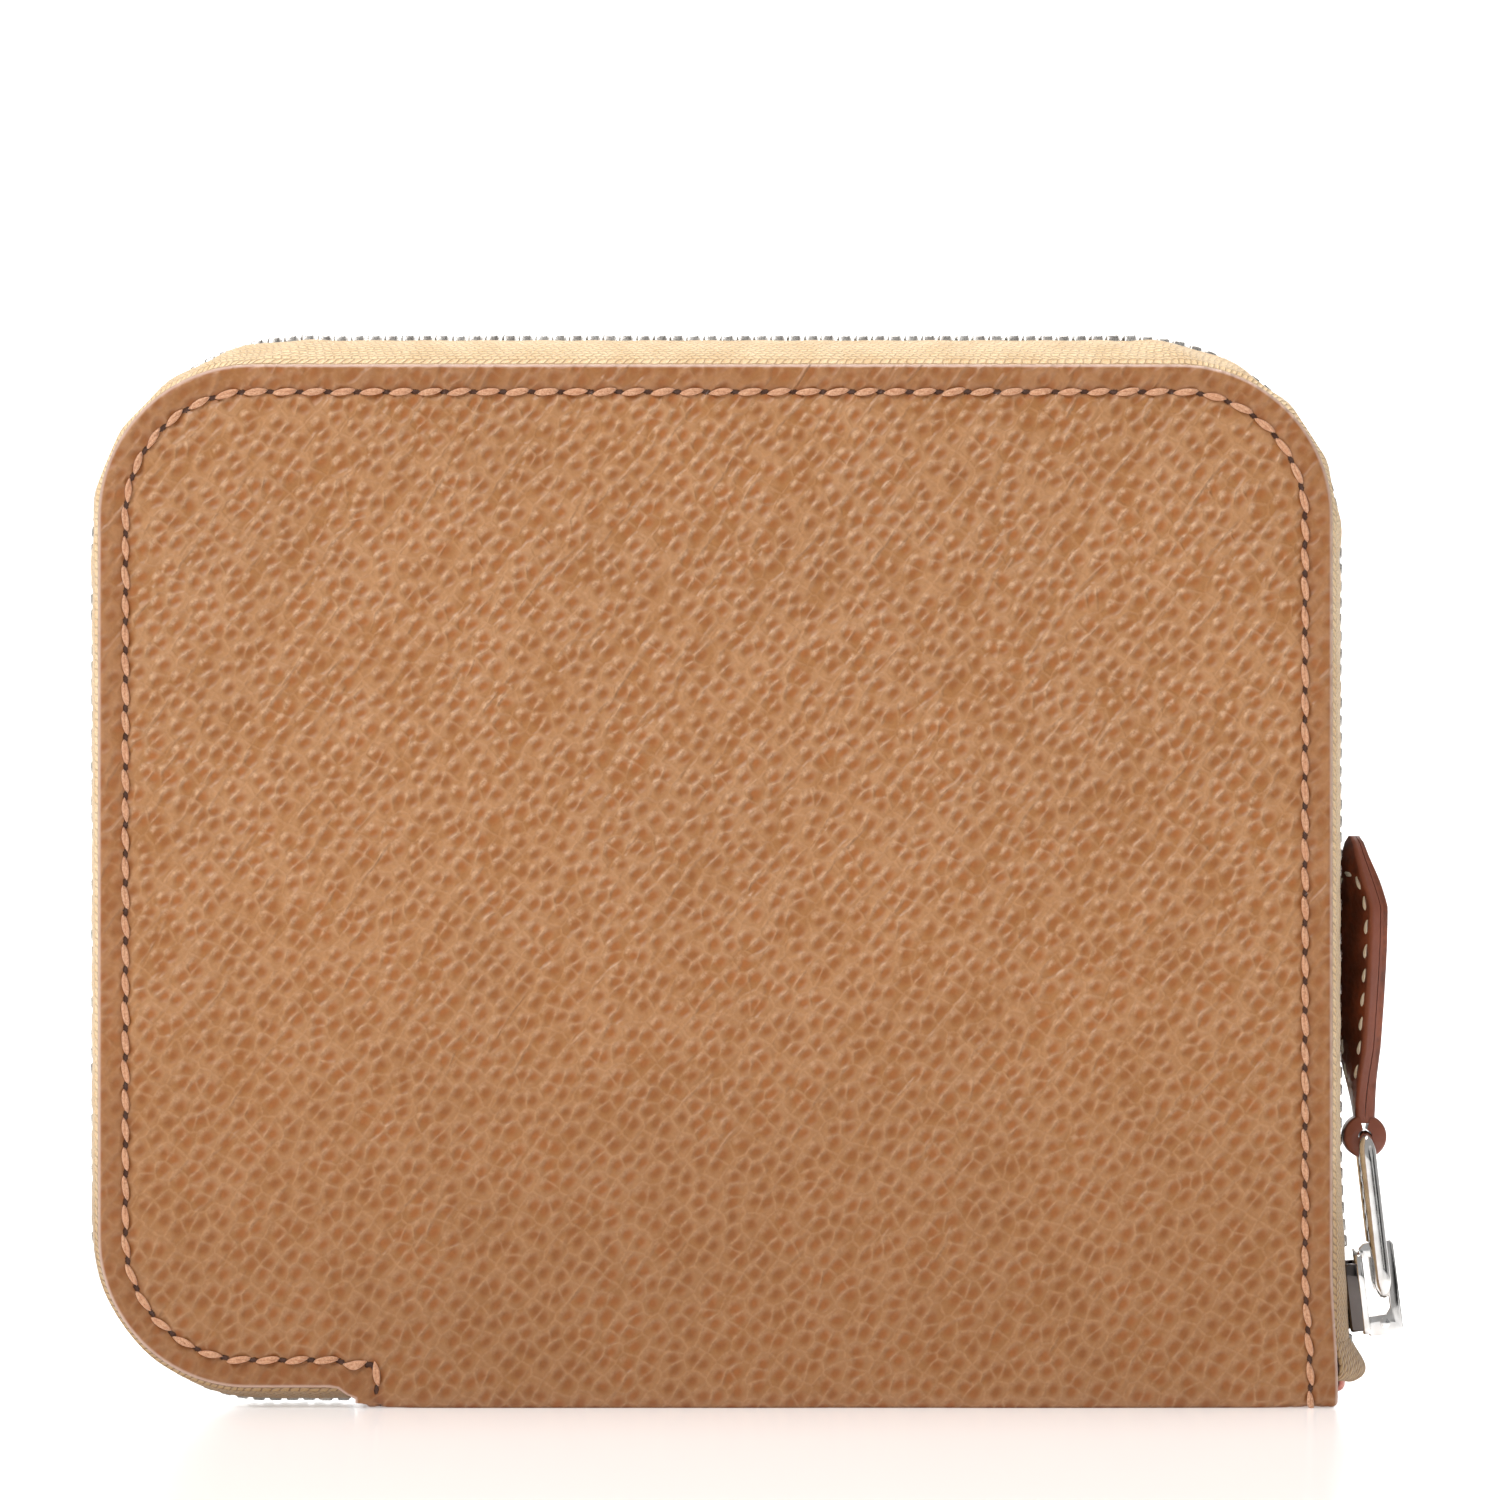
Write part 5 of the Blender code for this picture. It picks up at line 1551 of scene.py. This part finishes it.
def purse(leather_look, tape_look, tooth_look, metal_look, lining_look, thread_look):
    """The coin purse between the covers, with its own short zip."""
    for word, face in (("front", -1), ("rear", 1)):
        node = "purse_" + word + "_panel"
        low, high = box_mm(node)
        notch_x, notch_z, corner = -34.0, 8.6, 5.0

        def left(z):
            if z < notch_z:
                return notch_x
            if z < notch_z + corner:
                drop = notch_z + corner - z
                return low[0] + corner - sqrt(max(0.0, corner ** 2 - drop ** 2))
            return low[0]

        side = panel(node + "_leather", left, lambda z: high[0], low[2], lambda x: high[2], low[1], high[1],
                     leather_look, 0.10, 30.0 + face, 1.1)
        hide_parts(node)
        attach(side, "spine")
        y = low[1] if face < 0 else high[1]
        inset = PANEL_SEAM_INSET
        left_x, right_x = low[0] + inset, high[0] - inset
        line = [(left_x, high[2] - 1.4), (left_x, notch_z + corner), (low[0] + 5.2, notch_z + inset),
                (notch_x + inset, notch_z + inset), (notch_x + inset, low[2] + inset),
                (right_x, low[2] + inset), (right_x, high[2] - 1.4), (left_x, high[2] - 1.4)]
        row_of_stitches(node + "_stitches", line, y, face, "spine", thread_look)
        tape_node = "purse_" + word + "_tape"
        low, high = box_mm(tape_node)
        tape = refine(tape_node, tape_node + "_cloth", tape_look, "spine", 0.08)
        rest = np.array([vert.co[:] for vert in tape.data.vertices]) / MM
        store(tape, "cloth_u", rest[:, 0])
        store(tape, "cloth_v", rest[:, 2] + rest[:, 1])
        low, high = box_mm("purse_" + word + "_teeth")
        parts = []
        pitch = 1.5
        shift = 0.0 if face < 0 else pitch / 2
        for index in range(int((high[0] - low[0] - 1) / pitch)):
            x = low[0] + 0.6 + shift + index * pitch
            middle = (low[1] + high[1]) / 2
            reach = -face * 0.45
            outline = [(x - 0.38, low[2]), (x + 0.38, low[2]), (x + 0.38, high[2]), (x - 0.38, high[2])]
            ends = sorted((low[1] if face < 0 else high[1], middle + reach))
            points, faces = bevelled_outline(outline, ends[0], ends[1], 0.14, "Y", 2)
            parts.append((points, oriented(points, faces)))
        points, faces = join_parts(parts)
        teeth = make("purse_" + word + "_zip_teeth", points, faces, tooth_look, sharp=40)
        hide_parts("purse_" + word + "_teeth")
        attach(teeth, "spine")
    refine("purse_gusset", "purse_gusset_lining", lining_look, "spine", 0.1)
    refine("purse_slider_body", "purse_slider", metal_look, "purse_slider", 0.16, 3)
    refine("purse_slider_staple", "purse_staple", metal_look, "purse_slider", 0.12, 2)
    refine("purse_pull", "purse_puller_tag", metal_look, "purse_puller", 0.14, 3)


def board_fibre():
    """Grey-brown stiffener board with short fibres."""
    shade = Shade("stiffener_board_fibre", roughness=0.9)
    rest = shade.stored("rest")
    fibre = shade.noise(shade.mapped(rest, scale=(0.5, 1, 2.5)), 1.2, 5.0, 0.7)
    return shade.finish(shade.mix(fibre, srgb(120, 100, 78), srgb(168, 148, 120)), None,
                        shade.bump(fibre, 0.05, 0.6))


def pocket_leather():
    """Thin camel leather, its grain pressed flat, with a creased line along each mouth; painted highlights
    on pit rims and painted shade in the crease.
    """
    shade = Shade("pocket_leather_grain", roughness=0.48)
    rest = shade.stored("rest")
    mouth = shade.stored("mouth", "Fac")
    away = shade.stored("away", "Fac")
    x, _, z = shade.parts(rest)
    sheet = shade.node("CombineXYZ", {0: x, 1: z, 2: 0.0})
    ground, crests, rims = grain(shade, sheet, 1.15, radians(-40), 1.15)
    fine = shade.noise(rest, 2.6, 4.0, 0.6)
    broad = shade.noise(rest, 0.06, 2.0)
    colour = shade.mix(ground, srgb(160, 102, 56), srgb(174, 120, 74))
    # Painted highlight on each pit's lit rim.
    colour = shade.mix(shade.times(rims, 0.35), colour, srgb(200, 150, 108))
    colour = shade.mix(shade.ramp(broad, 0.35, 0.7, 0.0, 0.3), colour, srgb(158, 102, 60))
    crease = shade.ramp(shade.math("ABSOLUTE", shade.add(mouth, -1.4)), 0.06, 0.28, 1.0, 0.0)
    edge = shade.ramp(away, 0.05, 0.25, 1.0, 0.0)
    # Painted shade in the crease along each mouth.
    colour = shade.mix(shade.times(crease, 0.55), colour, srgb(112, 66, 36))
    colour = shade.mix(shade.times(edge, 0.6), colour, srgb(150, 104, 78))
    height = shade.math("MULTIPLY_ADD", fine, 0.25, shade.math("SUBTRACT", 1.0, ground))
    height = shade.math("MULTIPLY_ADD", crests, 0.2, height)
    height = shade.math("MULTIPLY_ADD", crease, -1.2, height)
    return shade.finish(colour, shade.ramp(fine, 0.3, 0.8, 0.42, 0.56), shade.bump(height, 0.08, 0.7))


leather = camel_leather()
thread = seam_thread()
tape_cloth = cotton_tape()
nickel = tooth_metal()
chrome = slider_metal()
coral = coral_satin()
for side in (FRONT, REAR):
    outer_leather(side, leather)
    cover_stitches(side, thread)
    zip_tape(side, tape_cloth)
    zip_teeth(side, nickel)
    end_stop(side, "closed", 0.6, nickel)
    end_stop(side, "tail", CHAIN_RUN[-1] - (2.6 if side == FRONT else 5.9), nickel)
    folded_end(side, tape_cloth)
    lining_end(side, coral)
slider_body(chrome)
slider_bridge(chrome)
pull_bail(chrome)
pull_tab(russet_leather())
tab_stitches(tab_thread())
pocket_hide = pocket_leather()
board = board_fibre()
for side in (FRONT, REAR):
    refine(WORD[side] + "_stiffener_board", WORD[side] + "_board", board, COVER_BODY[side])
    lining(side, coral)
refine("spine_lining", "spine_lining_cloth", coral, "spine", 0.2, 3)
pockets(pocket_hide, thread)
purse(pocket_hide, tape_cloth, nickel, chrome, coral, thread)
sweep()
sky()
lamps()
camera_square_on()
